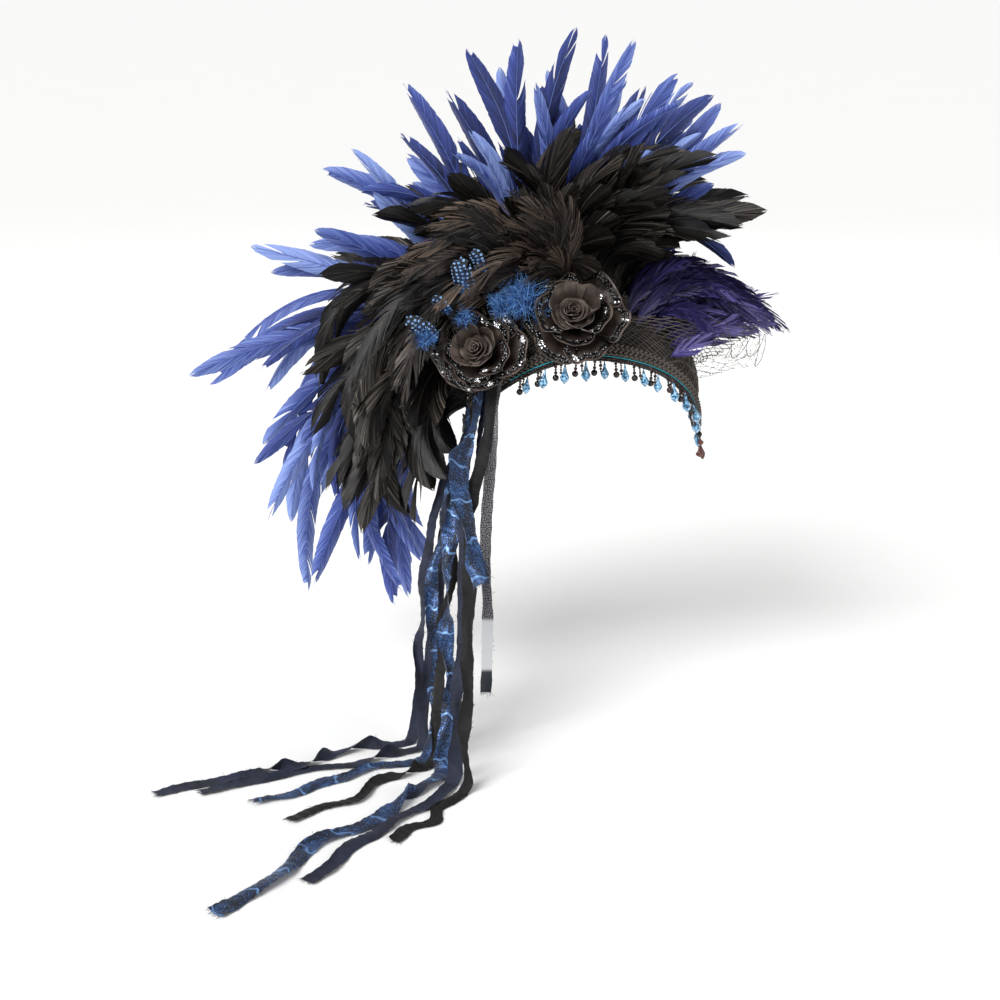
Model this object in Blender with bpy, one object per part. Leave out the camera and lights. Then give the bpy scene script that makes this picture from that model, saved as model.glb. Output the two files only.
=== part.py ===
# Showgirl feather headdress: a beaded cap with a feather crest, two fabric roses and long ribbons.
# The wearer faces +X, the wearer's right is -Y and up is +Z. The origin is the middle of the
# cap's opening, at the level where the dome starts.
import math

import bmesh
import bpy
from mathutils import Vector

# Cap, in metres.
CAP_LENGTH = 0.204
CAP_WIDTH = 0.160
CAP_DOME = 0.088
CAP_WALL = 0.0025
CAP_SIDES = 36
CAP_ROWS = 9
SEAT_GAP = 0.0007
RIM_GAP = 0.0014
PIECE_GAP = 0.0004
SHARP_ANGLE = 50

# Rim height at every 15 degrees from the front to the nape, as shares of the dome's height.
RIM_STEP = 15
RIM_HEIGHTS = (-0.42, -0.23, 0.05, 0.27, 0.40, 0.47, 0.49, 0.45, 0.34, 0.16, -0.05, -0.28, -0.45)

# Plaited braid and beaded fringe along the rim.
BRAID_HEIGHT = 0.012
BRAID_THICK = 0.004
BRAID_SOFT = 0.35
TAPE_HEIGHT = 0.003
TAPE_THICK = 0.0022
FRINGE_START = -150
FRINGE_END = 130
BEAD_PITCH = 0.0085
BEAD_SIDES = 10
DROP_LENGTH = 0.017
DROP_WIDTH = 0.0062
DROP_BELLY = 0.62
STRAND_LENGTH = 0.012
STRAND_WIDTH = 0.0034
STRAND_CORE = 0.0008
FRONT_DROP_LENGTH = 0.030
FRINGE_LEAN = 0.14

# Feather blades.
BLADE_THICK = 0.0016
BLADE_WIDTH = 0.019
BLADE_STEM = 0.005
BACKING_WIDTH = 0.0030
BACKING_THICK = 0.0020
BLUE_REACH = 0.350
BLACK_REACH = 0.350
PURPLE_REACH = 0.180
SIDE_REACH = 0.160
PURPLE_WIDTH = 0.0105
PURPLE_BACKING = 2.6
SIDE_WIDTH = 0.0100

# Sections of a blade: place along it, and its width and thickness as shares of the full ones.
BLADE_SECTIONS = ((0.30, 0.75, 1.0), (0.70, 1.0, 0.9), (1.0, 0.22, 0.6))

# Net frill over the brow.
NET_LONG = 0.076
NET_SHORT = 0.040
NET_LIFT = 0.030
NET_THICK = 0.0015
NET_SPAN = 40
NET_ROWS = 4
NET_RISE = 40
NET_FALL = -8
NET_TAPER = 0.6
NET_BAR = 0.24

# Roses.
ROSE_FRONT_RADIUS = 0.044
ROSE_BACK_RADIUS = 0.039
ROSE_FRONT_STEM = 0.006
ROSE_BACK_STEM = 0.016
ROSE_STEM_RADIUS = 0.0042
ROSE_PAD_RADIUS = 0.009
ROSE_PAD_THICK = 0.0016
PETAL_WALL = 0.0018
PETAL_GAP = 0.0006
BUD_LIFT = 0.05

# Whorls of a rose: name, radius and height as shares of the rose's radius, sides, petals, turn.
WHORLS = (
    ("outer", 1.0, 0.27, 24, 6, 0.0),
    ("middle", 0.72, 0.44, 18, 5, 1.1),
    ("inner", 0.46, 0.50, 14, 4, 2.0),
)
# A petal cup's rings as shares of its reach, the power of its rise, and the wave of its edge.
CUP_RINGS = (0.0, 0.45, 0.8, 1.0)
CUP_CURVE = 1.6
WAVE_OUT = 0.08
WAVE_UP = 0.10
# The bud above the whorls: radius and height as shares of the rose's radius, and its top.
BUD_RINGS = ((0.21, 0.10), (0.25, 0.28), (0.17, 0.42))
BUD_TOP = 0.45

# Ribbons.
FLOOR_DROP = 0.280
RIBBON_THICK = 0.0012
RIBBON_GATHER = 0.008
RIBBON_TOP = 0.010
RIBBON_SPREAD = 0.300
RIBBON_PLY = 0.0016
RIBBON_GAP = 0.0002
RIBBON_FLARE = 0.090
RIBBON_BOW = 0.007
RIBBON_KNEE = 0.030
RIBBON_KNEE_SHARE = 0.88
RIBBON_SETTLE = 0.45
RIBBON_SECTIONS = 15
CURVE_STEP = 0.01

# How far each ribbon bows out from the head: place down its fall and share of the bow.
RIBBON_BOWS = ((0.28, 1.0), (0.55, 0.8), (0.80, 0.3))
FLOOR_STEPS = (0.30, 0.65, 1.0)

# Blades of the crest: seat angle over the crown from the front, tip angle from the front,
# reach as a share of the row's reach, and how far the blade runs straight out.
BLUE_NEAR = {
    "front": ((75, 61, 0.77, 0.45), (82, 68, 0.80, 0.45), (89, 75, 0.82, 0.45),
              (96, 83, 0.88, 0.45), (103, 92, 0.90, 0.45), (110, 101, 0.89, 0.45)),
    "top": ((119, 109, 0.90, 0.45), (129, 120, 0.89, 0.45), (139, 133, 0.84, 0.45),
            (149, 148, 0.79, 0.45)),
    "back": ((159, 177, 1.00, 0.35), (166, 189, 0.83, 0.35), (173, 202, 0.88, 0.35),
             (180, 216, 0.87, 0.30), (187, 229, 0.75, 0.25)),
}
BLUE_FAR = {
    "front": ((75, 65, 0.79, 0.45), (82, 71, 0.81, 0.45), (89, 79, 0.77, 0.45),
              (96, 87, 0.88, 0.45), (103, 97, 0.80, 0.45), (110, 105, 0.83, 0.45)),
    "top": ((119, 115, 0.82, 0.45), (129, 127, 0.74, 0.45), (139, 140, 0.86, 0.45),
            (149, 157, 0.92, 0.40)),
    "back": ((159, 180, 0.97, 0.35), (166, 194, 0.89, 0.35), (173, 206, 0.86, 0.35),
             (180, 218, 0.93, 0.30), (187, 232, 0.75, 0.25)),
}
BLACK_INNER = {
    "front": ((75, 48, 0.64, 0.40), (85, 63, 0.68, 0.45), (95, 78, 0.65, 0.45),
              (105, 92, 0.68, 0.45)),
    "top": ((117, 108, 0.66, 0.45), (127, 121, 0.66, 0.45), (137, 138, 0.70, 0.45),
            (147, 154, 0.73, 0.40)),
    "back": ((159, 174, 0.71, 0.35), (168, 187, 0.69, 0.35), (177, 199, 0.69, 0.30),
             (186, 211, 0.66, 0.25)),
}
BLACK_OUTER = {
    "front": ((79, 56, 0.52, 0.45), (89, 70, 0.56, 0.45), (99, 85, 0.54, 0.45)),
    "top": ((117, 112, 0.55, 0.45), (127, 129, 0.54, 0.45), (137, 145, 0.58, 0.45),
            (147, 160, 0.60, 0.40)),
    "back": ((160, 180, 0.58, 0.35), (171, 193, 0.58, 0.35), (182, 205, 0.57, 0.30)),
}
# Rows of the crest from the wearer's left to right: name, colour, blades, sideways splay of the
# tips, and the blades' width as a share of the full width.
CREST_ROWS = (
    ("black_plumes_left", "black", BLACK_INNER, -0.052, 0.90),
    ("blue_plumes_left", "blue", BLUE_FAR, -0.020, 1.0),
    ("blue_plumes_right", "blue", BLUE_NEAR, 0.020, 1.0),
    ("black_plumes_right", "black", BLACK_INNER, 0.046, 0.90),
    ("black_plumes_outer", "black", BLACK_OUTER, 0.064, 0.80),
)

# Blades of the purple pad: place across the pad, tip heading from the front, reach, tip height
# as a share of the reach, and how far the blade runs straight out.
PURPLE_BLADES = (
    (-0.91, -44, 0.80, 0.48, 0.30), (-0.73, -35, 0.87, 0.56, 0.36), (-0.55, -26, 0.91, 0.64, 0.40),
    (-0.36, -17, 0.95, 0.72, 0.44), (-0.18, -9, 0.98, 0.60, 0.42), (0.0, 0, 0.92, 0.80, 0.46),
    (0.18, 9, 1.00, 0.56, 0.40), (0.36, 17, 0.90, 0.84, 0.46), (0.55, 26, 0.95, 0.62, 0.40),
    (0.73, 35, 0.87, 0.70, 0.40), (0.91, 44, 0.80, 0.50, 0.30),
)
PURPLE_SEAT = 54
PURPLE_SPAN_SHARE = 0.25
PURPLE_HALF_SPAN = PURPLE_SPAN_SHARE * CAP_WIDTH

# Blades of the side pad: seat angle, tip angle, reach share, straight run and sideways splay.
SIDE_BLADES = (
    (99, 92, 0.86, 0.45, 0.006), (104, 99, 0.94, 0.45, 0.014), (109, 108, 0.98, 0.45, 0.020),
    (114, 116, 1.00, 0.45, 0.024), (119, 124, 0.98, 0.45, 0.022), (124, 132, 0.97, 0.45, 0.016),
    (129, 140, 0.98, 0.45, 0.010), (134, 148, 0.96, 0.42, 0.006),
)
SIDE_SEAT_SHARE = 0.169
SIDE_SEAT = SIDE_SEAT_SHARE * CAP_WIDTH

# Roses: name, azimuth and rise of the seat in degrees, the way it faces, radius, stem length.
ROSES = (
    ("rose_front", 99, 47.5, (-0.05, -0.71, 0.70), ROSE_FRONT_RADIUS, ROSE_FRONT_STEM),
    ("rose_back", 150.5, 22.5, (-0.35, -0.80, 0.49), ROSE_BACK_RADIUS, ROSE_BACK_STEM),
)

# Ribbons: name, seat azimuth, ply (0 against the cap), width, landing and tip in shares of the
# spread, from the nape and the middle (landing is where it meets the floor, or where a free end
# hangs), and height of a free end.
RIBBONS = (
    ("ribbon_1", 167, 1, 0.012, (-0.17, -0.47), (-0.84, -0.80), 0.0),
    ("ribbon_2", 162, 0, 0.012, (-0.14, -0.52), (-0.72, -0.79), 0.0),
    ("ribbon_3", 160, 1, 0.012, (-0.12, -0.57), (-0.57, -0.85), 0.0),
    ("ribbon_4", 154, 0, 0.012, (-0.10, -0.62), (-0.46, -0.95), 0.0),
    ("ribbon_5", 151, 1, 0.016, (-0.07, -0.68), (-0.58, -1.41), 0.0),
    ("ribbon_6", 145, 0, 0.013, (-0.04, -0.74), (-0.38, -1.26), 0.0),
    ("ribbon_7", 138, 1, 0.012, (-0.01, -0.80), (-0.18, -1.06), 0.0),
    ("ribbon_8", 146, 2, 0.018, (0.03, -0.573), (0.03, -0.573), 0.155),
    ("ribbon_9", 136, 0, 0.010, (0.05, -0.46), (0.05, -0.46), 0.045),
    ("ribbon_10", 172, 0, 0.010, (-0.10, -0.33), (-0.10, -0.33), 0.060),
)

COLOURS = {
    "cap": ((0.05, 0.04, 0.035), 0.8, 0.0),
    "braid": ((0.11, 0.09, 0.075), 0.6, 0.0),
    "beads": ((0.18, 0.42, 0.60), 0.15, 0.0),
    "net": ((0.04, 0.035, 0.03), 0.7, 0.0),
    "blue": ((0.02, 0.07, 0.42), 0.45, 0.0),
    "black": ((0.015, 0.013, 0.012), 0.4, 0.0),
    "purple": ((0.05, 0.02, 0.20), 0.45, 0.0),
    "bronze": ((0.16, 0.10, 0.06), 0.5, 0.0),
    "rose": ((0.06, 0.045, 0.04), 0.35, 0.0),
    "ribbon": ((0.01, 0.02, 0.07), 0.3, 0.4),
}


def material(name):
    """The shared material of one finish."""
    found = bpy.data.materials.get(name)
    if found:
        return found
    colour, roughness, metallic = COLOURS[name]
    made = bpy.data.materials.new(name)
    made.use_nodes = True
    shader = made.node_tree.nodes["Principled BSDF"]
    shader.inputs["Base Color"].default_value = (*colour, 1.0)
    shader.inputs["Roughness"].default_value = roughness
    shader.inputs["Metallic"].default_value = metallic
    return made


def add_object(name, mesh_data, finish):
    """Turn a bmesh into a named object with outward faces and one material."""
    bmesh.ops.recalc_face_normals(mesh_data, faces=mesh_data.faces)
    mesh = bpy.data.meshes.new(name)
    mesh_data.to_mesh(mesh)
    mesh_data.free()
    mesh.materials.append(material(finish))
    mesh.shade_smooth()
    mesh.set_sharp_from_angle(angle=math.radians(SHARP_ANGLE))
    piece = bpy.data.objects.new(name, mesh)
    bpy.context.collection.objects.link(piece)
    return piece


def rim_share(azimuth):
    """The rim's height as a share of the dome's height, smooth between the table's rows."""
    turn = abs(azimuth) % 360
    turn = min(turn, 360 - turn) / RIM_STEP
    low = min(int(turn), len(RIM_HEIGHTS) - 2)
    last = len(RIM_HEIGHTS) - 1
    before = RIM_HEIGHTS[abs(low - 1)]
    start, end = RIM_HEIGHTS[low], RIM_HEIGHTS[low + 1]
    after = RIM_HEIGHTS[last - abs(last - (low + 2))]
    t = turn - low
    return start + 0.5 * t * (end - before + t * (
        2 * before - 5 * start + 4 * end - after + t * (3 * (start - end) + after - before)))


def rim_rise(azimuth, above=0.0):
    """How far up the cap a line `above` the rim lies: an angle on the dome, a share below it."""
    share = rim_share(azimuth)
    rise = math.asin(share) if share > 0 else share
    return rise + above / CAP_DOME


def cap_point(azimuth, rise, lift):
    """A point `lift` outside the cap's surface; azimuth runs from the front to the wearer's right."""
    turn = math.radians(azimuth)
    out = math.cos(max(rise, 0.0))
    height = (CAP_DOME + lift) * math.sin(rise) if rise > 0 else CAP_DOME * rise
    return Vector(((CAP_LENGTH / 2 + lift) * out * math.cos(turn),
                   -(CAP_WIDTH / 2 + lift) * out * math.sin(turn), height))


def cap_normal(azimuth, rise):
    """The way out of the cap at a point."""
    turn = math.radians(azimuth)
    out = math.cos(max(rise, 0.0))
    up = math.sin(max(rise, 0.0))
    return Vector((out * math.cos(turn) * 2 / CAP_LENGTH, -out * math.sin(turn) * 2 / CAP_WIDTH,
                   up / CAP_DOME)).normalized()


def arc_point(angle, side, lift):
    """A point `lift` outside the cap on the fore-and-aft arc that lies `side` from the middle."""
    turn = math.radians(angle)
    across = side / (CAP_WIDTH / 2 + lift)
    inset = math.sqrt(1 - across * across)
    rise = math.sin(turn) * (CAP_DOME + lift)
    if rise > 0:
        return Vector(((CAP_LENGTH / 2 + lift) * inset * math.cos(turn), side, inset * rise))
    return Vector((math.copysign(CAP_LENGTH / 2 + lift, math.cos(turn)) * inset, side, rise))


def grid_of(mesh_data, rows):
    """Make a vertex for each point of each row."""
    return [[mesh_data.verts.new(point) for point in row] for row in rows]


def bridge(mesh_data, first, second):
    """Join two rings of vertices with four-sided faces."""
    for i in range(len(first)):
        j = (i + 1) % len(first)
        mesh_data.faces.new((first[i], first[j], second[j], second[i]))


def bridge_split(mesh_data, first, second, turned=()):
    """Join two rings with triangles; the sides listed in `turned` are split the other way."""
    for i in range(len(first)):
        j = (i + 1) % len(first)
        if i in turned:
            mesh_data.faces.new((first[i], first[j], second[i]))
            mesh_data.faces.new((first[j], second[j], second[i]))
        else:
            mesh_data.faces.new((first[i], first[j], second[j]))
            mesh_data.faces.new((first[i], second[j], second[i]))


def fan(mesh_data, ring, point):
    """Close a ring with triangles to one point."""
    tip = mesh_data.verts.new(point)
    for i, vert in enumerate(ring):
        mesh_data.faces.new((vert, ring[(i + 1) % len(ring)], tip))


def build_cap():
    """The cap: a dome-shaped shell, open below, with the rim's dips and arches."""
    mesh_data = bmesh.new()
    turns = [360 / CAP_SIDES * i for i in range(CAP_SIDES)]
    skins = []
    for lift in (0.0, -CAP_WALL):
        rings = []
        for row in range(CAP_ROWS):
            share = row / CAP_ROWS
            ring = []
            for turn in turns:
                low = rim_rise(turn)
                ring.append(cap_point(turn, low + (math.pi / 2 - low) * share, lift))
            rings.append(ring)
        skin = grid_of(mesh_data, rings)
        for low_ring, high_ring in zip(skin, skin[1:]):
            bridge(mesh_data, low_ring, high_ring)
        fan(mesh_data, skin[-1], Vector((0, 0, CAP_DOME + lift)))
        skins.append(skin)
    bridge(mesh_data, skins[0][0], skins[1][0])
    add_object("cap", mesh_data, "cap")


def rim_band(mesh_data, azimuths, profile, closed):
    """A band along the rim; the profile holds height above the rim and lift off the cap."""
    rings = []
    for azimuth in azimuths:
        rings.append([cap_point(azimuth, rim_rise(azimuth, above), lift) for above, lift in profile])
    made = grid_of(mesh_data, rings)
    for first, second in zip(made, made[1:]):
        bridge(mesh_data, first, second)
    if closed:
        bridge(mesh_data, made[-1], made[0])
    else:
        mesh_data.faces.new(made[0])
        mesh_data.faces.new(made[-1])


def build_braid():
    """The plaited braid that runs all round, just above the beaded tape."""
    low = TAPE_HEIGHT + PIECE_GAP
    inner, outer = RIM_GAP, RIM_GAP + BRAID_THICK
    soft = BRAID_THICK * BRAID_SOFT
    profile = ((low, inner), (low, outer - soft), (low + BRAID_HEIGHT / 2, outer),
               (low + BRAID_HEIGHT, outer - soft), (low + BRAID_HEIGHT, inner))
    mesh_data = bmesh.new()
    rim_band(mesh_data, [360 / CAP_SIDES * i for i in range(CAP_SIDES)], profile, True)
    add_object("braid_trim", mesh_data, "braid")


def rim_stations(pitch):
    """Azimuths of the fringe, evenly spaced along the sloping rim."""
    lift = RIM_GAP + TAPE_THICK / 2
    found = []
    run = pitch / 2
    last = cap_point(FRINGE_START, rim_rise(FRINGE_START), lift)
    for azimuth in range(FRINGE_START + 1, FRINGE_END - 1):
        point = cap_point(azimuth, rim_rise(azimuth), lift)
        run += (point - last).length
        last = point
        if run >= pitch:
            found.append(azimuth)
            run -= pitch
    return found


def hanging_bead(mesh_data, top, fall, width, neck):
    """One bead drop: a neck that starts inside the tape, a round belly and a pointed end."""
    rings = []
    for share, radius in ((0.0, neck), (DROP_BELLY, width / 2)):
        ring = []
        for i in range(BEAD_SIDES):
            turn = 2 * math.pi * i / BEAD_SIDES
            aside = Vector((math.cos(turn), math.sin(turn), 0.0)) * radius
            ring.append(top + fall * share + aside)
        rings.append(ring)
    made = grid_of(mesh_data, rings)
    bridge(mesh_data, made[0], made[1])
    mesh_data.faces.new(made[0])
    fan(mesh_data, made[1], top + fall)


def build_fringe():
    """The beaded tape under the braid, with crystal drops and thin strands in turn."""
    mesh_data = bmesh.new()
    inner, outer = RIM_GAP, RIM_GAP + TAPE_THICK
    profile = ((0.0, inner), (0.0, outer), (TAPE_HEIGHT, outer), (TAPE_HEIGHT, inner))
    step = 360 // CAP_SIDES
    rim_band(mesh_data, list(range(FRINGE_START, FRINGE_END + 1, step)), profile, False)
    tape = add_object("bead_fringe", mesh_data, "beads")
    mesh_data = bmesh.new()
    stations = rim_stations(BEAD_PITCH)
    middle = min(range(len(stations)), key=lambda i: abs(stations[i]))
    sunk = TAPE_HEIGHT / 2
    for i, azimuth in enumerate(stations):
        top = cap_point(azimuth, rim_rise(azimuth, sunk), (inner + outer) / 2)
        fall = cap_normal(azimuth, 0.0) * FRINGE_LEAN - Vector((0, 0, 1))
        length, width = STRAND_LENGTH, STRAND_WIDTH
        if i == middle:
            length, width = FRONT_DROP_LENGTH, DROP_WIDTH
        elif (i - middle) % 2 == 0:
            length, width = DROP_LENGTH, DROP_WIDTH
        hanging_bead(mesh_data, top, fall * (length + sunk), width, STRAND_CORE)
    drops = add_object("fringe_drops", mesh_data, "beads")
    drops.hide_render = True
    drops.display_type = "WIRE"
    joined = tape.modifiers.new("drops", "BOOLEAN")
    joined.operation = "UNION"
    joined.object = drops


def blade(mesh_data, base, across, out, tip, run, width):
    """A feather blade from its base quad along a smooth curve to its tip."""
    start = sum((vert.co for vert in base), Vector()) / 4
    control = start + out * ((tip - start).length * run)
    last = base
    for share, wide, thick in BLADE_SECTIONS:
        rest = 1 - share
        place = rest * rest * start + 2 * rest * share * control + share * share * tip
        along = (rest * (control - start) + share * (tip - control)).normalized()
        flat = along.cross(across).normalized() * (width * wide / 2)
        depth = flat.cross(along).normalized() * (BLADE_THICK * thick / 2)
        ring = [mesh_data.verts.new(place + corner) for corner in
                (-flat - depth, flat - depth, flat + depth, -flat + depth)]
        bridge(mesh_data, last, ring)
        last = ring
    mesh_data.faces.new(last)


def plume_strip(name, finish, at, stations, blades, width):
    """A backing strip on the cap with a blade on each of its cells.

    `at(station, side, lift)` gives a point of the strip, with side from -1 to 1, and each row of
    `blades` holds the blade's way out, its tip and its straight run.
    """
    mesh_data = bmesh.new()
    top_lift = SEAT_GAP + BACKING_THICK
    borders = []
    for station in stations:
        borders.append([mesh_data.verts.new(at(station, side, lift)) for side, lift in
                        ((-1, SEAT_GAP), (1, SEAT_GAP), (1, top_lift), (-1, top_lift))])
    for i, (out, tip, run) in enumerate(blades):
        first, second = borders[i], borders[i + 1]
        for low, high in ((0, 1), (1, 2), (3, 0)):
            mesh_data.faces.new((first[low], first[high], second[high], second[low]))
        middle = (stations[i] + stations[i + 1]) / 2
        centre = at(middle, 0, top_lift)
        along = (at(stations[i + 1], 0, top_lift) - at(stations[i], 0, top_lift)).normalized()
        across = (at(middle, 1, top_lift) - at(middle, -1, top_lift)).normalized()
        stem = along * BLADE_STEM / 2
        depth = across * BLADE_THICK / 2
        base = [mesh_data.verts.new(centre + corner) for corner in
                (-stem - depth, stem - depth, stem + depth, -stem + depth)]
        cell = [first[3], second[3], second[2], first[2]]
        bridge(mesh_data, cell, base)
        blade(mesh_data, base, across, out, tip, run, width)
    mesh_data.faces.new(borders[0])
    mesh_data.faces.new(borders[-1])
    add_object(name, mesh_data, finish)


def strip_stations(seats):
    """Cell borders half-way between the seats."""
    between = [(a + b) / 2 for a, b in zip(seats, seats[1:])]
    return [seats[0] - (between[0] - seats[0])] + between + [seats[-1] + (seats[-1] - between[-1])]


def arc_strip(name, finish, side, table, reach, width):
    """A strip of blades along one fore-and-aft arc; rows hold seat, tip, reach, run and splay."""
    def at(station, across, lift):
        return arc_point(station, side + across * BACKING_WIDTH / 2, lift)

    blades = []
    for seat, tip_angle, share, run, splay in table:
        turn = math.radians(tip_angle)
        out = arc_point(seat, side, BACKING_WIDTH) - arc_point(seat, side, 0.0)
        tip = Vector((reach * share * math.cos(turn), side + splay, reach * share * math.sin(turn)))
        blades.append((out.normalized(), tip, run))
    plume_strip(name, finish, at, strip_stations([row[0] for row in table]), blades, width)


def build_crest():
    """Rows of blue and black plumes side by side over the crown, each in three strips."""
    pitch = BACKING_WIDTH + PIECE_GAP
    reaches = {"blue": BLUE_REACH, "black": BLACK_REACH}
    for i, (name, finish, sectors, splay, wide) in enumerate(CREST_ROWS):
        side = (1.5 - i) * pitch
        for sector, table in sectors.items():
            rows = [(*row, -splay) for row in table]
            arc_strip(name + "_" + sector, finish, side, rows, reaches[finish], BLADE_WIDTH * wide)


def build_purple_pad():
    """The pad of short purple hackles that sweeps forward over the brow."""
    half = BACKING_WIDTH * PURPLE_BACKING / 2

    def at(station, side, lift):
        angle = PURPLE_SEAT + side * math.degrees(half / CAP_DOME)
        return arc_point(angle, -station, lift)

    blades = []
    for share, heading, reach, height, run in PURPLE_BLADES:
        place = share * PURPLE_HALF_SPAN
        out = at(place, 0, BACKING_WIDTH) - at(place, 0, 0.0)
        turn = math.radians(heading)
        far = PURPLE_REACH * reach
        tip = Vector((far * math.cos(turn), -far * math.sin(turn), far * height))
        blades.append((out.normalized(), tip, run))
    seats = [row[0] * PURPLE_HALF_SPAN for row in PURPLE_BLADES]
    plume_strip("purple_hackle_pad", "purple", at, strip_stations(seats), blades, PURPLE_WIDTH)


def build_side_pad():
    """The pad of bronze and spotted plumes between the crest and the roses."""
    rows = [(seat, tip, share, run, -splay) for seat, tip, share, run, splay in SIDE_BLADES]
    arc_strip("side_plume_pad", "bronze", -SIDE_SEAT, rows, SIDE_REACH, SIDE_WIDTH)


def build_net():
    """The pleated net frill over the brow, cut through in rows of holes."""
    step = 360 // CAP_SIDES
    azimuths = list(range(-NET_SPAN, NET_SPAN + 1, step))
    edge = TAPE_HEIGHT + BRAID_HEIGHT + 3 * PIECE_GAP + NET_THICK
    rows = []
    for i, azimuth in enumerate(azimuths):
        foot = edge + NET_LIFT * (1 - (azimuth / NET_SPAN) ** 2)
        ridge = i % 2 == 0
        tilt = math.radians(NET_RISE if ridge else NET_FALL)
        length = NET_LONG if ridge else NET_SHORT
        length *= math.cos(math.radians(azimuth * NET_TAPER))
        root = cap_point(azimuth, rim_rise(azimuth, foot), SEAT_GAP)
        turn = math.radians(azimuth)
        out = math.cos(tilt)
        way = Vector((math.cos(turn) * out, -math.sin(turn) * out, math.sin(tilt)))
        lead = cap_normal(azimuth, rim_rise(azimuth, foot))
        line = []
        for j in range(NET_ROWS + 1):
            share = j / NET_ROWS
            line.append(root + length * share * (lead * (1 - share) + way * share))
        rows.append(line)
    mesh_data = bmesh.new()
    last_i, last_j = len(rows) - 1, NET_ROWS
    sheets = []
    for facing in (0.5, -0.5):
        sheet = []
        for i in range(last_i + 1):
            line = []
            for j in range(last_j + 1):
                side = rows[min(i + 1, last_i)][j] - rows[max(i - 1, 0)][j]
                out = rows[i][min(j + 1, last_j)] - rows[i][max(j - 1, 0)]
                normal = side.cross(out).normalized() * NET_THICK * facing
                line.append(mesh_data.verts.new(rows[i][j] + normal))
            sheet.append(line)
        sheets.append(sheet)
    for i in range(last_i):
        for j in range(last_j):
            holes = []
            for sheet in sheets:
                cell = (sheet[i][j], sheet[i + 1][j], sheet[i + 1][j + 1], sheet[i][j + 1])
                middle = sum((vert.co for vert in cell), Vector()) / 4
                hole = [mesh_data.verts.new(vert.co.lerp(middle, NET_BAR)) for vert in cell]
                bridge_split(mesh_data, cell, hole)
                holes.append(hole)
            bridge(mesh_data, holes[0], holes[1])
    front, back = sheets
    for j in range(last_j):
        for i in (0, last_i):
            mesh_data.faces.new((front[i][j], front[i][j + 1], back[i][j + 1], back[i][j]))
    for i in range(last_i):
        for j in (0, last_j):
            mesh_data.faces.new((front[i][j], front[i + 1][j], back[i + 1][j], back[i][j]))
    add_object("net_frill", mesh_data, "net")


def petal_cup(name, place, radius, height, lift, sides, lobes, turn):
    """One whorl of petals: a thin cup with a wavy edge, open in the middle for the stem."""
    mesh_data = bmesh.new()
    hole = ROSE_STEM_RADIUS + PETAL_GAP
    skins = []
    for drop in (0.0, PETAL_WALL):
        rings = []
        for share in CUP_RINGS:
            ring = []
            for i in range(sides):
                angle = 2 * math.pi * i / sides
                wave = math.cos(lobes * angle + turn) * share
                reach = hole + (radius - hole) * share * (1 + WAVE_OUT * wave)
                rise = height * share ** CUP_CURVE * (1 + WAVE_UP * wave) + lift - drop
                ring.append(place(reach * math.cos(angle), reach * math.sin(angle), rise))
            rings.append(ring)
        skin = grid_of(mesh_data, rings)
        for inner, outer in zip(skin, skin[1:]):
            bridge(mesh_data, inner, outer)
        skins.append(skin)
    bridge(mesh_data, skins[0][0], skins[1][0])
    bridge(mesh_data, skins[0][-1], skins[1][-1])
    add_object(name, mesh_data, "rose")


def rose(name, azimuth, rise, axis, radius, stem):
    """A fabric rose on the cap: three whorls of petals round a bud, whose stem carries them."""
    base = cap_point(azimuth, math.radians(rise), PIECE_GAP)
    flat = cap_normal(azimuth, math.radians(rise))
    axis = Vector(axis).normalized()
    heart = base + axis * stem
    side = axis.cross(Vector((0, 0, 1))).normalized()
    up = side.cross(axis)

    def place(x, y, z):
        return heart + side * x + up * y + axis * z

    lift = PETAL_WALL + 2 * PETAL_GAP
    for label, reach, height, sides, lobes, turn in WHORLS:
        whorl = name + "_petals_" + label
        petal_cup(whorl, place, radius * reach, radius * height, lift, sides, lobes, turn)
        lift += PETAL_WALL + PETAL_GAP
    mesh_data = bmesh.new()
    bud_foot = lift + BUD_LIFT * radius
    pad_side = flat.cross(Vector((0, 0, 1))).normalized()
    pad_up = pad_side.cross(flat)
    circle = []
    for i in range(BEAD_SIDES):
        turn = 2 * math.pi * i / BEAD_SIDES
        circle.append((math.cos(turn), math.sin(turn)))
    rings = []
    for pad_radius, pad_lift in ((ROSE_PAD_RADIUS, 0.0), (ROSE_STEM_RADIUS * 1.5, ROSE_PAD_THICK)):
        centre = base + flat * pad_lift
        rings.append([centre + pad_side * pad_radius * x + pad_up * pad_radius * y for x, y in circle])
    sections = [(ROSE_STEM_RADIUS, 0.0), (ROSE_STEM_RADIUS, bud_foot)]
    for reach, height in BUD_RINGS:
        sections.append((reach * radius, bud_foot + height * radius))
    for ring_radius, height in sections:
        rings.append([place(ring_radius * x, ring_radius * y, height) for x, y in circle])
    made = grid_of(mesh_data, rings)
    for low, high in zip(made, made[1:]):
        bridge(mesh_data, low, high)
    mesh_data.faces.new(made[0])
    fan(mesh_data, made[-1], place(0, 0, bud_foot + BUD_TOP * radius))
    add_object(name + "_bud", mesh_data, "rose")


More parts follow.
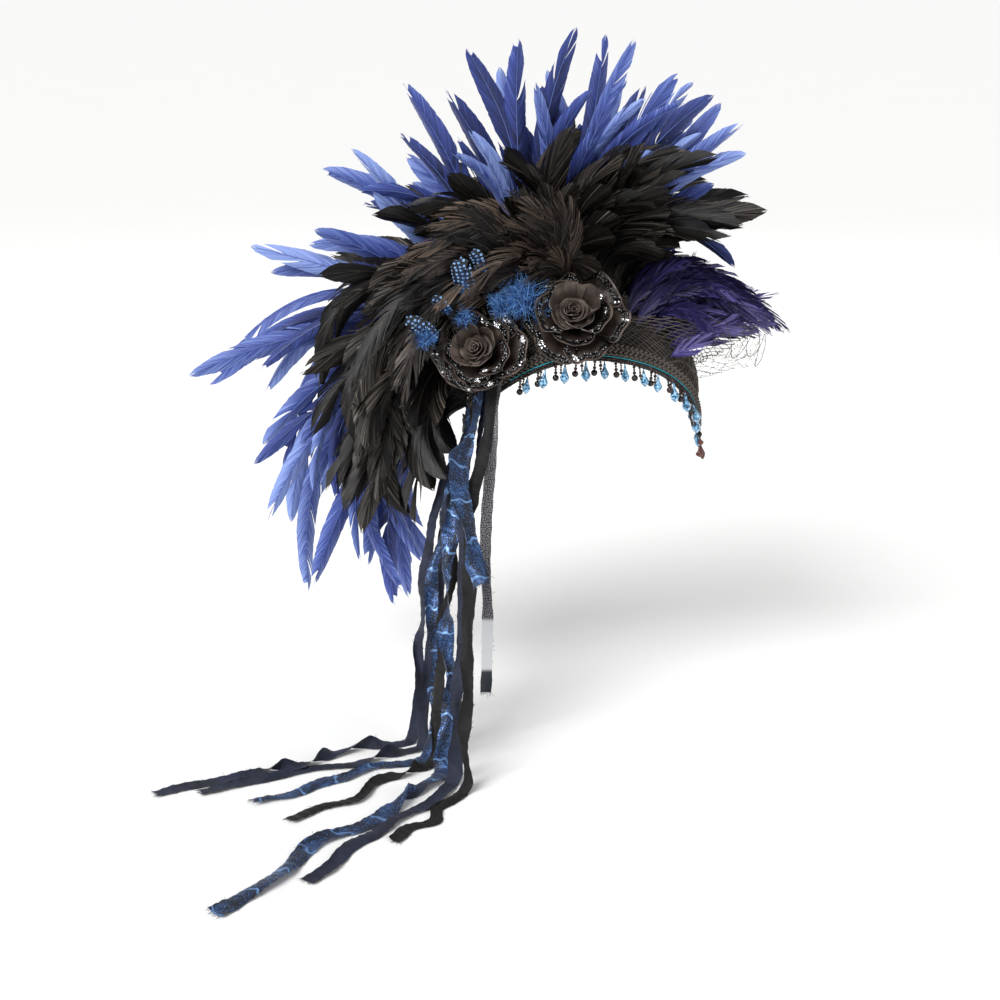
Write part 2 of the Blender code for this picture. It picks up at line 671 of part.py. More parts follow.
def curve_through(points, share):
    """A smooth curve through a few points, run evenly by length."""
    knots = [0.0]
    for start, end in zip(points, points[1:]):
        knots.append(knots[-1] + (end - start).length)
    slopes = []
    for i in range(len(points)):
        low, high = max(i - 1, 0), min(i + 1, len(points) - 1)
        if low == i or high == i:
            slopes.append((points[high] - points[low]) / (knots[high] - knots[low]))
            continue
        before = (points[i] - points[low]) / (knots[i] - knots[low])
        after = (points[high] - points[i]) / (knots[high] - knots[i])
        weight = (knots[i] - knots[low]) / (knots[high] - knots[low])
        slopes.append(before * (1 - weight) + after * weight)
    run = min(max(share, 0.0), 1.0) * knots[-1]
    i = 0
    while i < len(points) - 2 and run > knots[i + 1]:
        i += 1
    span = knots[i + 1] - knots[i]
    t = (run - knots[i]) / span
    rest = 1 - t
    return (points[i] * (1 + 2 * t) * rest * rest + slopes[i] * span * t * rest * rest
            + points[i + 1] * t * t * (3 - 2 * t) - slopes[i + 1] * span * t * t * rest)


def ribbon(name, azimuth, ply, width, landing, tip, free_end):
    """One ribbon, gathered under the back rose: it hangs beside the nape, then lies on the floor."""
    lift = RIM_GAP + BRAID_THICK + RIBBON_GAP + RIBBON_THICK / 2 + ply * RIBBON_PLY
    top = cap_point(azimuth, rim_rise(azimuth, RIBBON_TOP), lift)
    low = cap_point(azimuth, rim_rise(azimuth, -RIBBON_TOP / 2), lift + ply * RIBBON_PLY / 2)
    away = cap_normal(azimuth, 0.0)
    nape = -CAP_LENGTH / 2
    floor = -FLOOR_DROP + RIBBON_THICK / 2
    foot = Vector((nape + landing[0] * RIBBON_SPREAD, landing[1] * RIBBON_SPREAD, floor + free_end))
    points = [top, low]
    for share, bow in RIBBON_BOWS:
        place = low.lerp(foot, share)
        points.append(place + away * (bow * RIBBON_BOW * (1 + ply)))
    points.append(foot)
    if not free_end:
        far = Vector((nape + tip[0] * RIBBON_SPREAD, tip[1] * RIBBON_SPREAD, floor))
        points[-2] = low.lerp(foot, RIBBON_KNEE_SHARE)
        points[-2].z = floor + RIBBON_KNEE
        points += [foot.lerp(far, share) for share in FLOOR_STEPS]
    length = sum((end - start).length for start, end in zip(points, points[1:]))
    mesh_data = bmesh.new()
    last = None
    for i in range(RIBBON_SECTIONS + 1):
        share = i / RIBBON_SECTIONS
        place = curve_through(points, share)
        place.z = max(place.z, floor)
        ahead = curve_through(points, share + CURVE_STEP) - curve_through(points, share - CURVE_STEP)
        heading = Vector((ahead.x, ahead.y, 0.0)).normalized()
        settled = min(1.0, share / RIBBON_SETTLE)
        heading = away.lerp(heading, settled * settled * (3 - 2 * settled)).normalized()
        flat = heading.cross(Vector((0, 0, 1))).normalized()
        gather = min(1.0, share * length / RIBBON_FLARE)
        half = flat * (RIBBON_GATHER + (width - RIBBON_GATHER) * gather) / 2
        depth = half.cross(ahead).normalized() * RIBBON_THICK / 2
        ring = [mesh_data.verts.new(place + corner) for corner in
                (-half - depth, half - depth, half + depth, -half + depth)]
        if last:
            bridge_split(mesh_data, last, ring, (2,))
        else:
            mesh_data.faces.new(ring)
        last = ring
    mesh_data.faces.new(last)
    add_object(name, mesh_data, "ribbon")


def build_all():
    """Clear the scene and make every piece."""
    for old in list(bpy.data.objects):
        bpy.data.objects.remove(old, do_unlink=True)
    build_cap()
    build_braid()
    build_fringe()
    build_net()
    build_crest()
    build_purple_pad()
    build_side_pad()
    for row in ROSES:
        rose(*row)
    for row in RIBBONS:
        ribbon(*row)


build_all()
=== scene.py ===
"""Showgirl feather headdress: plumes, roses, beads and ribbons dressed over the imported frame."""

import math
from collections import namedtuple

import bpy
import numpy as np
from bpy.props import FloatProperty, FloatVectorProperty, IntProperty, PointerProperty
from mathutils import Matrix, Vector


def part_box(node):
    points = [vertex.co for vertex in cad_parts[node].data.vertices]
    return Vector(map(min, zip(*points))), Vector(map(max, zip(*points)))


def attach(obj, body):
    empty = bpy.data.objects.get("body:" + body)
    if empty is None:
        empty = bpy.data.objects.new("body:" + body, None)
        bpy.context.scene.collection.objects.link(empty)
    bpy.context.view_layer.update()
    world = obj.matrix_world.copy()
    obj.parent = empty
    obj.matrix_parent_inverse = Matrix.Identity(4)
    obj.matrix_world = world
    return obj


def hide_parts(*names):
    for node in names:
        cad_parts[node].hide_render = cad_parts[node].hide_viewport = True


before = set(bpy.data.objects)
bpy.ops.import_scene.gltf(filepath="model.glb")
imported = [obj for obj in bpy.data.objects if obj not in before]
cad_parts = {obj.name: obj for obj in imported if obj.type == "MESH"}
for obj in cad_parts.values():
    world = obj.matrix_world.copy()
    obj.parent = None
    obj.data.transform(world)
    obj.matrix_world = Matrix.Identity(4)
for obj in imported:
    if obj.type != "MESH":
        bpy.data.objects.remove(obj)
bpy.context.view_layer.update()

bl_info = {
    "name": "Showgirl Feather Headdress",
    "version": (1, 0, 0),
    "blender": (4, 5, 0),
    "location": "View3D > Sidebar > Headdress",
    "description": "Dresses the headdress frame with feathers, roses, beads, net and ribbons",
    "category": "Add Mesh",
}

# The cap as the frame has it, in metres: x to the wearer's front, -y to the wearer's right, z up.
CAP_LOW, CAP_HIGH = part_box("cap")
CAP_LENGTH = CAP_HIGH.x - CAP_LOW.x
CAP_DOME = CAP_HIGH.z
CAP_WIDTH = 0.160
CAP_WALL = 0.0025
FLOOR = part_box("ribbon_1")[0].z

# Rim height at every 15 degrees from the front to the nape, as shares of the dome's height.
RIM_STEP = 15
RIM_HEIGHTS = np.array((-0.42, -0.23, 0.05, 0.27, 0.40, 0.47, 0.49, 0.45, 0.34, 0.16, -0.05, -0.28,
                        -0.45))

RIM_GAP = 0.0014
SEAT_GAP = 0.0007
PIECE_GAP = 0.0004
BRAID_HEIGHT = 0.012
BRAID_THICK = 0.004
TAPE_HEIGHT = 0.003
TAPE_THICK = 0.0022
FRINGE_START = -150
FRINGE_END = 130
BEAD_PITCH = 0.0085
FRINGE_LEAN = 0.14
FRONT_SPAN = 16
BAND_THICK = 0.0016
BRAID_INSET = 0.0006
PICOT_RADIUS = 0.00115
THREAD_LIFT = 0.0024
# A crystal drop's cut, as (radius, height) rows of its half width and length.
CRYSTAL_CUT = ((0.10, 0.0), (0.16, -0.10), (0.42, -0.38), (1.0, -0.66), (0.80, -0.82), (0.14, -0.97))
# Bead sizes of a strand, for whether it ends in a crystal and whether it hangs over the brow.
STRANDS = {
    (True, False): (0.8,),
    (True, True): (0.9, 0.7, 0.9, 0.7),
    (False, False): (0.7, 0.8, 0.6, 0.9, 1.6),
    (False, True): (0.7, 0.85, 0.7, 0.95, 1.0, 1.4),
}

BACKING_WIDTH = 0.0030
BACKING_THICK = 0.0020
BLUE_REACH = 0.350
BLACK_REACH = 0.350
PURPLE_REACH = 0.180
SIDE_REACH = 0.160
PURPLE_SEAT = 54
PURPLE_HALF_SPAN = 0.25 * CAP_WIDTH
SIDE_SEAT = 0.169 * CAP_WIDTH

NET_LONG = 0.076
NET_SHORT = 0.040
NET_LIFT = 0.030
NET_THICK = 0.0015
NET_SPAN = 40
NET_RISE = 40
NET_FALL = -8
NET_TAPER = 0.6
NET_PLEAT = 10
BROW_SPAN = 62
NET_KNOTS = 160
NET_REFERENCE = (0.3, 0.2, 0.93)

ROSE_STEM_RADIUS = 0.0042
PETAL_WALL = 0.0018
PETAL_GAP = 0.0006
BUD_LIFT = 0.05
CUP_CURVE = 1.6
SATIN_THICK = 0.0007
# A dished sequin with a hole, as (radius, height) rows.
SEQUIN_DISH = ((0.22, 0.0), (0.75, 0.10), (1.0, 0.28))

RIBBON_THICK = 0.0012
RIBBON_GATHER = 0.008
RIBBON_TOP = 0.010
RIBBON_SPREAD = 0.300
RIBBON_PLY = 0.0016
RIBBON_GAP = 0.0002
RIBBON_FLARE = 0.090
RIBBON_BOW = 0.007
RIBBON_KNEE = 0.030
RIBBON_KNEE_SHARE = 0.88
RIBBON_SETTLE = 0.45
RIBBON_BOWS = ((0.28, 1.0), (0.55, 0.8), (0.80, 0.3))
FLOOR_STEPS = (0.30, 0.65, 1.0)
CURVE_STEP = 0.01
RIBBON_STEP = 0.0022
RIBBON_COLUMNS = 11
RIBBON_SWAY = 0.0022
RIBBON_SWERVE = 0.008
RIPPLE_PITCH = 0.0085
RIPPLE_HEIGHT = 0.0003
FLOOR_NEAR = 0.012

# Plumes of the crest: seat angle over the crown, tip angle, reach share, straight run.
BLUE_NEAR = {
    "front": ((75, 61, 0.77, 0.45), (82, 68, 0.80, 0.45), (89, 75, 0.82, 0.45),
              (96, 83, 0.88, 0.45), (103, 92, 0.90, 0.45), (110, 101, 0.89, 0.45)),
    "top": ((119, 109, 0.90, 0.45), (129, 120, 0.89, 0.45), (139, 133, 0.84, 0.45),
            (149, 148, 0.79, 0.45)),
    "back": ((159, 177, 1.00, 0.35), (166, 189, 0.83, 0.35), (173, 202, 0.88, 0.35),
             (180, 216, 0.87, 0.30), (187, 229, 0.75, 0.25)),
}
BLUE_FAR = {
    "front": ((75, 65, 0.79, 0.45), (82, 71, 0.81, 0.45), (89, 79, 0.77, 0.45),
              (96, 87, 0.88, 0.45), (103, 97, 0.80, 0.45), (110, 105, 0.83, 0.45)),
    "top": ((119, 115, 0.82, 0.45), (129, 127, 0.74, 0.45), (139, 140, 0.86, 0.45),
            (149, 157, 0.92, 0.40)),
    "back": ((159, 180, 0.97, 0.35), (166, 194, 0.89, 0.35), (173, 206, 0.86, 0.35),
             (180, 218, 0.93, 0.30), (187, 232, 0.75, 0.25)),
}
BLACK_INNER = {
    "front": ((75, 48, 0.64, 0.40), (85, 63, 0.68, 0.45), (95, 78, 0.65, 0.45),
              (105, 92, 0.68, 0.45)),
    "top": ((117, 108, 0.66, 0.45), (127, 121, 0.66, 0.45), (137, 138, 0.70, 0.45),
            (147, 154, 0.73, 0.40)),
    "back": ((159, 174, 0.71, 0.35), (168, 187, 0.69, 0.35), (177, 199, 0.69, 0.30),
             (186, 211, 0.66, 0.25)),
}
BLACK_OUTER = {
    "front": ((79, 56, 0.52, 0.45), (89, 70, 0.56, 0.45), (99, 85, 0.54, 0.45)),
    "top": ((117, 112, 0.55, 0.45), (127, 129, 0.54, 0.45), (137, 145, 0.58, 0.45),
            (147, 160, 0.60, 0.40)),
    "back": ((160, 180, 0.58, 0.35), (171, 193, 0.58, 0.35), (182, 205, 0.57, 0.30)),
}
# Rows of the crest: name, kind of feather, plumes, sideways splay of the tips, seed.
CREST_ROWS = (
    ("black_plumes_left", "black", BLACK_INNER, -0.052, 11),
    ("blue_plumes_left", "blue", BLUE_FAR, -0.020, 22),
    ("blue_plumes_right", "blue", BLUE_NEAR, 0.020, 33),
    ("black_plumes_right", "black", BLACK_INNER, 0.046, 44),
    ("black_plumes_outer", "black", BLACK_OUTER, 0.064, 55),
)
# Purple hackles: place across the pad, heading, reach share, tip height share.
PURPLE_BLADES = (
    (-0.91, -44, 0.80, 0.48), (-0.73, -35, 0.87, 0.56), (-0.55, -26, 0.91, 0.64),
    (-0.36, -17, 0.95, 0.72), (-0.18, -9, 0.98, 0.60), (0.0, 0, 0.92, 0.80),
    (0.18, 9, 1.00, 0.56), (0.36, 17, 0.90, 0.84), (0.55, 26, 0.95, 0.62),
    (0.73, 35, 0.87, 0.70), (0.91, 44, 0.80, 0.50),
)
# The hackles' tips end along a line that falls toward the front, from this height and reach.
HACKLE_TOP = 0.130
HACKLE_FRONT = 0.087
HACKLE_FALL = 0.74
# Side plumes: seat angle, tip angle, reach share, straight run, sideways splay.
SIDE_BLADES = (
    (99, 92, 0.86, 0.45, 0.006), (104, 99, 0.94, 0.45, 0.014), (109, 108, 0.98, 0.45, 0.020),
    (114, 116, 1.00, 0.45, 0.024), (119, 124, 0.98, 0.45, 0.022), (124, 132, 0.97, 0.45, 0.016),
    (129, 140, 0.98, 0.45, 0.010), (134, 148, 0.96, 0.42, 0.006),
)
# Dotted feathers: root and tip as seen from the side (x and z), and half width.
SPOTTED = (
    (-0.104, 0.096, -0.110, 0.131, 0.0095), (-0.090, 0.114, -0.098, 0.138, 0.0065),
    (-0.130, 0.056, -0.154, 0.080, 0.0080), (-0.118, 0.080, -0.132, 0.098, 0.0060),
)
# Tufts of blue down: place, radius and fibres.
TUFTS = (
    (-0.056, -0.062, 0.094, 0.017, 1500), (-0.074, -0.062, 0.088, 0.011, 600),
    (-0.038, -0.062, 0.084, 0.011, 500), (-0.138, -0.066, 0.062, 0.010, 700),
    (-0.104, -0.064, 0.078, 0.009, 300),
)
# Roses: name, azimuth and rise of the seat in degrees, the way it faces, radius, stem length
# and seed.
ROSES = (
    ("rose_front", 99, 47.5, (-0.05, -0.71, 0.70), 0.044, 0.006, 5),
    ("rose_back", 150.5, 22.5, (-0.35, -0.80, 0.49), 0.039, 0.016, 8),
)
# Whorls of a rose: name, reach and height shares, petals, turn, and share of petals with sequins.
WHORLS = (
    ("outer", 1.0, 0.27, 6, 0.0, 1.0),
    ("middle", 0.72, 0.44, 5, 1.1, 0.9),
    ("inner", 0.46, 0.50, 4, 2.0, 0.35),
)
# Petals of a bud, as shares of the rose's radius: reach, height, petals, wrap in radians, flare.
BUD_PETALS = (
    (0.045, 0.40, 2, 2.2, 0.005), (0.085, 0.42, 3, 1.6, 0.020), (0.135, 0.40, 3, 1.5, 0.040),
    (0.190, 0.35, 4, 1.3, 0.060), (0.240, 0.27, 5, 1.1, 0.085),
)
# Ribbons: name, cloth, seat azimuth, ply, width, landing and tip from the nape, free end, half
# turns on the floor, and crumple.
RIBBONS = (
    ("ribbon_1", "slate", 167, 1, 0.012, (-0.17, -0.47), (-0.84, -0.80), 0.0, 3, 1.0),
    ("ribbon_2", "slate", 162, 0, 0.012, (-0.14, -0.52), (-0.72, -0.79), 0.0, 1, 0.8),
    ("ribbon_3", "foil", 160, 1, 0.012, (-0.12, -0.57), (-0.57, -0.85), 0.0, 0, 1.0),
    ("ribbon_4", "black", 154, 0, 0.012, (-0.10, -0.62), (-0.46, -0.95), 0.0, 1, 1.1),
    ("ribbon_5", "foil", 151, 1, 0.016, (-0.07, -0.68), (-0.58, -1.41), 0.0, 1, 1.2),
    ("ribbon_6", "slate", 145, 0, 0.013, (-0.04, -0.74), (-0.38, -1.26), 0.0, 0, 1.0),
    ("ribbon_7", "black", 138, 1, 0.012, (-0.01, -0.80), (-0.18, -1.06), 0.0, 0, 1.0),
    ("ribbon_8", "foil", 146, 2, 0.018, (0.03, -0.573), (0.03, -0.573), 0.155, 0, 0.9),
    ("ribbon_9", "mesh", 136, 0, 0.010, (0.05, -0.46), (0.05, -0.46), 0.045, 0, 0.5),
    ("ribbon_10", "black", 172, 0, 0.010, (-0.10, -0.33), (-0.10, -0.33), 0.060, 0, 0.5),
)


COLOUR = {"subtype": "COLOR", "size": 3, "min": 0.0, "max": 1.0}


class CapSettings(bpy.types.PropertyGroup):
    knit_pitch: FloatProperty(
        name="Knit rib", description="Spacing of the knitted ribs", default=0.0032, unit="LENGTH")
    lace_cell: FloatProperty(
        name="Lace cell", description="Size of the lace's diamonds", default=0.0080, unit="LENGTH")
    stitch_pitch: FloatProperty(
        name="Braid stitch", description="Spacing of the braid's stitches", default=0.0046,
        unit="LENGTH")
    knit_colour: FloatVectorProperty(
        name="Knit colour", description="Colour of the knitted cap", default=(0.006, 0.005, 0.0042),
        **COLOUR)
    braid_colour: FloatVectorProperty(
        name="Braid colour", description="Colour of the braid and the lace",
        default=(0.018, 0.0145, 0.012), **COLOUR)


class FringeSettings(bpy.types.PropertyGroup):
    drop_length: FloatProperty(
        name="Drop length", description="Length of a crystal drop", default=0.0180, unit="LENGTH")
    drop_width: FloatProperty(
        name="Drop width", description="Width of a crystal drop", default=0.0082, unit="LENGTH")
    front_drop_length: FloatProperty(
        name="Front drop", description="Length of the drop over the brow", default=0.030, unit="LENGTH")
    bead_radius: FloatProperty(
        name="Bead radius", description="Radius of a dark bead", default=0.0018, unit="LENGTH")
    crystal_colour: FloatVectorProperty(
        name="Crystal colour", description="Colour of the crystal drops",
        default=(0.045, 0.27, 0.50), **COLOUR)


class NetSettings(bpy.types.PropertyGroup):
    cell: FloatProperty(
        name="Net cell", description="Size of the net's diamonds", default=0.0170, unit="LENGTH")
    strand: FloatProperty(
        name="Strand radius", description="Radius of one net strand", default=0.00014, unit="LENGTH")
    colour: FloatVectorProperty(
        name="Net colour", description="Colour of the net", default=(0.060, 0.050, 0.042),
        **COLOUR)


class PlumeSettings(bpy.types.PropertyGroup):
    blue_width: FloatProperty(
        name="Blue width", description="Width of a blue feather", default=0.0185, unit="LENGTH")
    black_width: FloatProperty(
        name="Black width", description="Width of a black feather", default=0.026, unit="LENGTH")
    hackle_width: FloatProperty(
        name="Hackle width", description="Width of a purple hackle", default=0.017, unit="LENGTH")
    hackles: IntProperty(
        name="Hackles", description="Purple hackles at each place on the pad", default=10, min=1)
    side_width: FloatProperty(
        name="Side width", description="Width of a bronze plume", default=0.022, unit="LENGTH")
    blue_extra: IntProperty(
        name="Blue fillers", description="Short blue feathers beside each long one", default=2, min=0)
    black_extra: IntProperty(
        name="Black fillers", description="Short black feathers beside each long one", default=4, min=0)
    blue_dark: FloatVectorProperty(
        name="Blue in shade", description="Darkest blue of the feathers",
        default=(0.005, 0.009, 0.052), **COLOUR)
    blue_mid: FloatVectorProperty(
        name="Blue", description="Main blue of the feathers",
        default=(0.035, 0.062, 0.29), **COLOUR)
    # Painted highlight of the blue feathers, and painted light shining through their thin tips.
    blue_highlight: FloatVectorProperty(
        name="Pale blue", description="Palest blue, at thin tips",
        default=(0.26, 0.36, 0.74), **COLOUR)


class RoseSettings(bpy.types.PropertyGroup):
    sequin_radius: FloatProperty(
        name="Sequin radius", description="Radius of one sequin", default=0.00140, unit="LENGTH")
    petal_colour: FloatVectorProperty(
        name="Petal colour", description="Colour of the satin petals",
        default=(0.050, 0.037, 0.031), **COLOUR)


class RibbonSettings(bpy.types.PropertyGroup):
    crease_pitch: FloatProperty(
        name="Crease pitch", description="Spacing of the ribbons' creases", default=0.019, unit="LENGTH")
    foil_colour: FloatVectorProperty(
        name="Foil colour", description="Colour of the metallic patches",
        default=(0.050, 0.120, 0.31), **COLOUR)


class StageSettings(bpy.types.PropertyGroup):
    floor_radius: FloatProperty(
        name="Floor radius", description="Radius of the pale floor", default=600.0, unit="LENGTH")
    key_strength: FloatProperty(
        name="Key light", description="Strength of the soft sun", default=3.2)
    fill_power: FloatProperty(
        name="Fill light", description="Power of each large lamp", default=12.0, unit="POWER")


SETTINGS = {
    "headdress_cap": CapSettings,
    "headdress_fringe": FringeSettings,
    "headdress_net": NetSettings,
    "headdress_plumes": PlumeSettings,
    "headdress_roses": RoseSettings,
    "headdress_ribbons": RibbonSettings,
    "headdress_stage": StageSettings,
}


def unit(vectors):
    """Vectors along the last axis at length one."""
    vectors = np.asarray(vectors, float)
    return vectors / np.maximum(np.linalg.norm(vectors, axis=-1, keepdims=True), 1e-12)


def smooth(share):
    """A share from 0 to 1, eased at both ends."""
    share = np.clip(share, 0.0, 1.0)
    return share * share * (3 - 2 * share)


class Parts:
    """Points, faces and values gathered for one mesh."""

    def __init__(self):
        self.points = []
        self.tints = []
        self.places = []
        self.loops = []
        self.sizes = []
        self.finishes = []
        self.count = 0

    def add(self, points, faces, tint=(0, 0, 0, 0), place=(0, 0, 0), finish=0):
        """Add points with their faces; tint and place are one row, or one for each point."""
        points = np.reshape(points, (-1, 3))
        faces = np.reshape(faces, (-1, np.shape(faces)[-1]))
        self.points.append(points)
        self.tints.append(np.broadcast_to(np.reshape(tint, (-1, 4)), (len(points), 4)))
        self.places.append(np.broadcast_to(np.reshape(place, (-1, 3)), (len(points), 3)))
        self.loops.append(faces.ravel() + self.count)
        self.sizes.append(np.full(len(faces), faces.shape[1]))
        self.finishes.append(np.full(len(faces), finish))
        self.count += len(points)

    def grid(self, points, wrap=False, **values):
        """Add a surface through a grid of points; wrap joins the last column to the first."""
        ids = np.arange(points.shape[0] * points.shape[1]).reshape(points.shape[:2])
        if wrap:
            ids = np.concatenate((ids, ids[:, :1]), axis=1)
        self.add(points, quads(ids), **values)

    def tube(self, path, radius, sides=5, reference=(0, 0, 1), **values):
        """Add a round tube along a path."""
        ahead = np.gradient(path, axis=0)
        side = unit(np.cross(ahead, reference))
        up = unit(np.cross(side, ahead))
        turns = (np.arange(sides) * 2 * math.pi / sides)[:, None]
        ring = side[:, None] * np.cos(turns) + up[:, None] * np.sin(turns)
        radius = np.broadcast_to(radius, len(path))
        self.grid(path[:, None] + ring * radius[:, None, None], wrap=True, **values)

    def scatter(self, shape, centres, axes, tones=0.0, finish=0):
        """Add a copy of a shape at each centre; axes are the three scaled directions of each copy."""
        points, faces = shape
        placed = centres[:, None] + np.einsum("pk,mkj->mpj", points, axes)
        ids = faces + (np.arange(len(centres)) * len(points))[:, None, None]
        tint = np.zeros((len(centres), len(points), 4))
        tint[..., 2] = np.reshape(tones, (-1, 1))
        self.add(placed, ids, tint=tint, finish=finish)

    def slab(self, points, thickness, **values):
        """Add a thin sheet with two faces and a rim from a grid of middle points."""
        down = np.gradient(points, axis=0)
        across = np.gradient(points, axis=1)
        offset = unit(np.cross(down, across)) * thickness / 2
        top, low = points + offset, points - offset
        self.grid(top, **values)
        self.grid(low[:, ::-1], **{key: value[:, ::-1] for key, value in values.items()})
        for edge in ((0, slice(None)), (-1, slice(None)), (slice(None), 0), (slice(None), -1)):
            rim = {key: np.stack((value[edge], value[edge])) for key, value in values.items()}
            self.grid(np.stack((top[edge], low[edge])), **rim)

    def build(self, name, finishes, nodes, slot, flat=False):
        """Make the object, put it on the frame and let it stand for the frame's own nodes."""
        mesh = bpy.data.meshes.new(name)
        points, loops, sizes = (np.concatenate(rows) for rows in (self.points, self.loops, self.sizes))
        mesh.vertices.add(len(points))
        mesh.vertices.foreach_set("co", points.astype(np.float32).ravel())
        mesh.loops.add(len(loops))
        mesh.loops.foreach_set("vertex_index", loops.astype(np.int32))
        mesh.polygons.add(len(sizes))
        mesh.polygons.foreach_set("loop_start", (np.cumsum(sizes) - sizes).astype(np.int32))
        mesh.polygons.foreach_set("material_index", np.concatenate(self.finishes).astype(np.int32))
        mesh.update(calc_edges=True)
        for key, kind, field, rows in (("tint", "FLOAT_COLOR", "color", self.tints),
                                       ("place", "FLOAT_VECTOR", "vector", self.places)):
            values = mesh.attributes.new(key, kind, "POINT")
            values.data.foreach_set(field, np.concatenate(rows).astype(np.float32).ravel())
        mesh.validate()
        if not flat:
            mesh.shade_smooth()
        for finish in finishes:
            mesh.materials.append(finish)
        piece = bpy.data.objects.new(name, mesh)
        bpy.context.scene.collection.objects.link(piece)
        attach(piece, "root")
        if nodes:
            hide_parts(*nodes)
        return piece


def quads(ids):
    """Faces between neighbours in a grid of point numbers."""
    return np.stack((ids[..., :-1, :-1], ids[..., :-1, 1:], ids[..., 1:, 1:], ids[..., 1:, :-1]), -1)


def distances(path):
    """How far along a path each of its points lies."""
    return np.concatenate(([0], np.cumsum(np.linalg.norm(np.diff(path, axis=0), axis=1))))


def scaled_colour(colour, factor):
    """A colour made darker or lighter."""
    return tuple(factor * part for part in colour)


def grid_tint(rows, columns, tone):
    """A tint for each point of a grid: place down it, place across it and tone."""
    down, across = np.meshgrid(np.linspace(0, 1, rows), np.linspace(-1, 1, columns), indexing="ij")
    return np.stack((down, across, np.full_like(down, tone), 0 * down), -1)


def grid_place(rows, columns, half_width, length, start=0.0):
    """The place of each point of a grid on the flat piece, in metres."""
    across, down = np.meshgrid(np.linspace(-half_width, half_width, columns),
                               start + np.linspace(0, length, rows))
    return np.stack((across, down, 0 * down), -1)


def revolved(rows, sides, ends=(), twist=0.0):
    """Points and triangles of rings about z, one for each (radius, height) row.

    Every other ring is turned by `twist` of a side, and `ends` are the heights of two closing points.
    """
    turns = (np.arange(sides) + twist * (np.arange(len(rows)) % 2)[:, None]) * 2 * math.pi / sides
    radius, height = np.array(rows, float).T[..., None]
    points = np.stack((np.cos(turns) * radius, np.sin(turns) * radius, height + 0 * turns), -1)
    points = points.reshape(-1, 3)
    near = np.arange(sides)
    far = (near + 1) % sides
    low = np.arange(len(rows) - 1)[:, None] * sides
    faces = [np.stack((low + near, low + sides + near, low + sides + far), -1),
             np.stack((low + near, low + sides + far, low + far), -1)]
    if ends:
        top, foot = len(points), len(points) - sides
        points = np.concatenate((points, [(0, 0, end) for end in ends]))
        faces += [np.stack((0 * near + top, near, far), -1),
                  np.stack((0 * near + top + 1, foot + far, foot + near), -1)]
    return points, np.concatenate([face.reshape(-1, 3) for face in faces])


def ball(sides, rings):
    """A unit ball as points and triangles."""
    turns = math.pi * np.arange(1, rings) / rings
    return revolved(np.stack((np.sin(turns), np.cos(turns)), -1), sides, (1, -1))


def rim_share(azimuth):
    """The rim's height as a share of the dome's height."""
    turn = np.abs(np.asarray(azimuth, float)) % 360
    turn = np.minimum(turn, 360 - turn) / RIM_STEP
    last = len(RIM_HEIGHTS) - 1
    low = np.minimum(turn.astype(int), last - 1)
    t = turn - low
    before, start, end = RIM_HEIGHTS[np.abs(low - 1)], RIM_HEIGHTS[low], RIM_HEIGHTS[low + 1]
    after = RIM_HEIGHTS[last - np.abs(last - (low + 2))]
    return start + 0.5 * t * (end - before + t * (
        2 * before - 5 * start + 4 * end - after + t * (3 * (start - end) + after - before)))


def rim_rise(azimuth, above=0.0):
    """How far up the cap a line `above` the rim lies."""
    share = rim_share(azimuth)
    return np.where(share > 0, np.arcsin(np.clip(share, -1, 1)), share) + above / CAP_DOME


def cap_point(azimuth, rise, lift):
    """Points `lift` outside the cap; azimuth runs from the front to the wearer's right."""
    azimuth, rise, lift = np.broadcast_arrays(azimuth, rise, lift)
    turn = np.radians(azimuth)
    out = np.cos(np.maximum(rise, 0.0))
    height = np.where(rise > 0, (CAP_DOME + lift) * np.sin(rise), CAP_DOME * rise)
    return np.stack(((CAP_LENGTH / 2 + lift) * out * np.cos(turn),
                     -(CAP_WIDTH / 2 + lift) * out * np.sin(turn), height), -1)


def cap_normal(azimuth, rise):
    """The way out of the cap at a point."""
    azimuth, rise = np.broadcast_arrays(azimuth, rise)
    turn = np.radians(azimuth)
    out, up = np.cos(np.maximum(rise, 0.0)), np.sin(np.maximum(rise, 0.0))
    return unit(np.stack((out * np.cos(turn) * 2 / CAP_LENGTH, -out * np.sin(turn) * 2 / CAP_WIDTH,
                          up / CAP_DOME), -1))


def arc_point(angle, side, lift):
    """A point `lift` outside the cap on the fore-and-aft arc that lies `side` from the middle."""
    turn = math.radians(angle)
    across = side / (CAP_WIDTH / 2 + lift)
    inset = math.sqrt(1 - across * across)
    rise = math.sin(turn) * (CAP_DOME + lift)
    if rise > 0:
        return np.array(((CAP_LENGTH / 2 + lift) * inset * math.cos(turn), side, inset * rise))
    return np.array((math.copysign(CAP_LENGTH / 2 + lift, math.cos(turn)) * inset, side, rise))


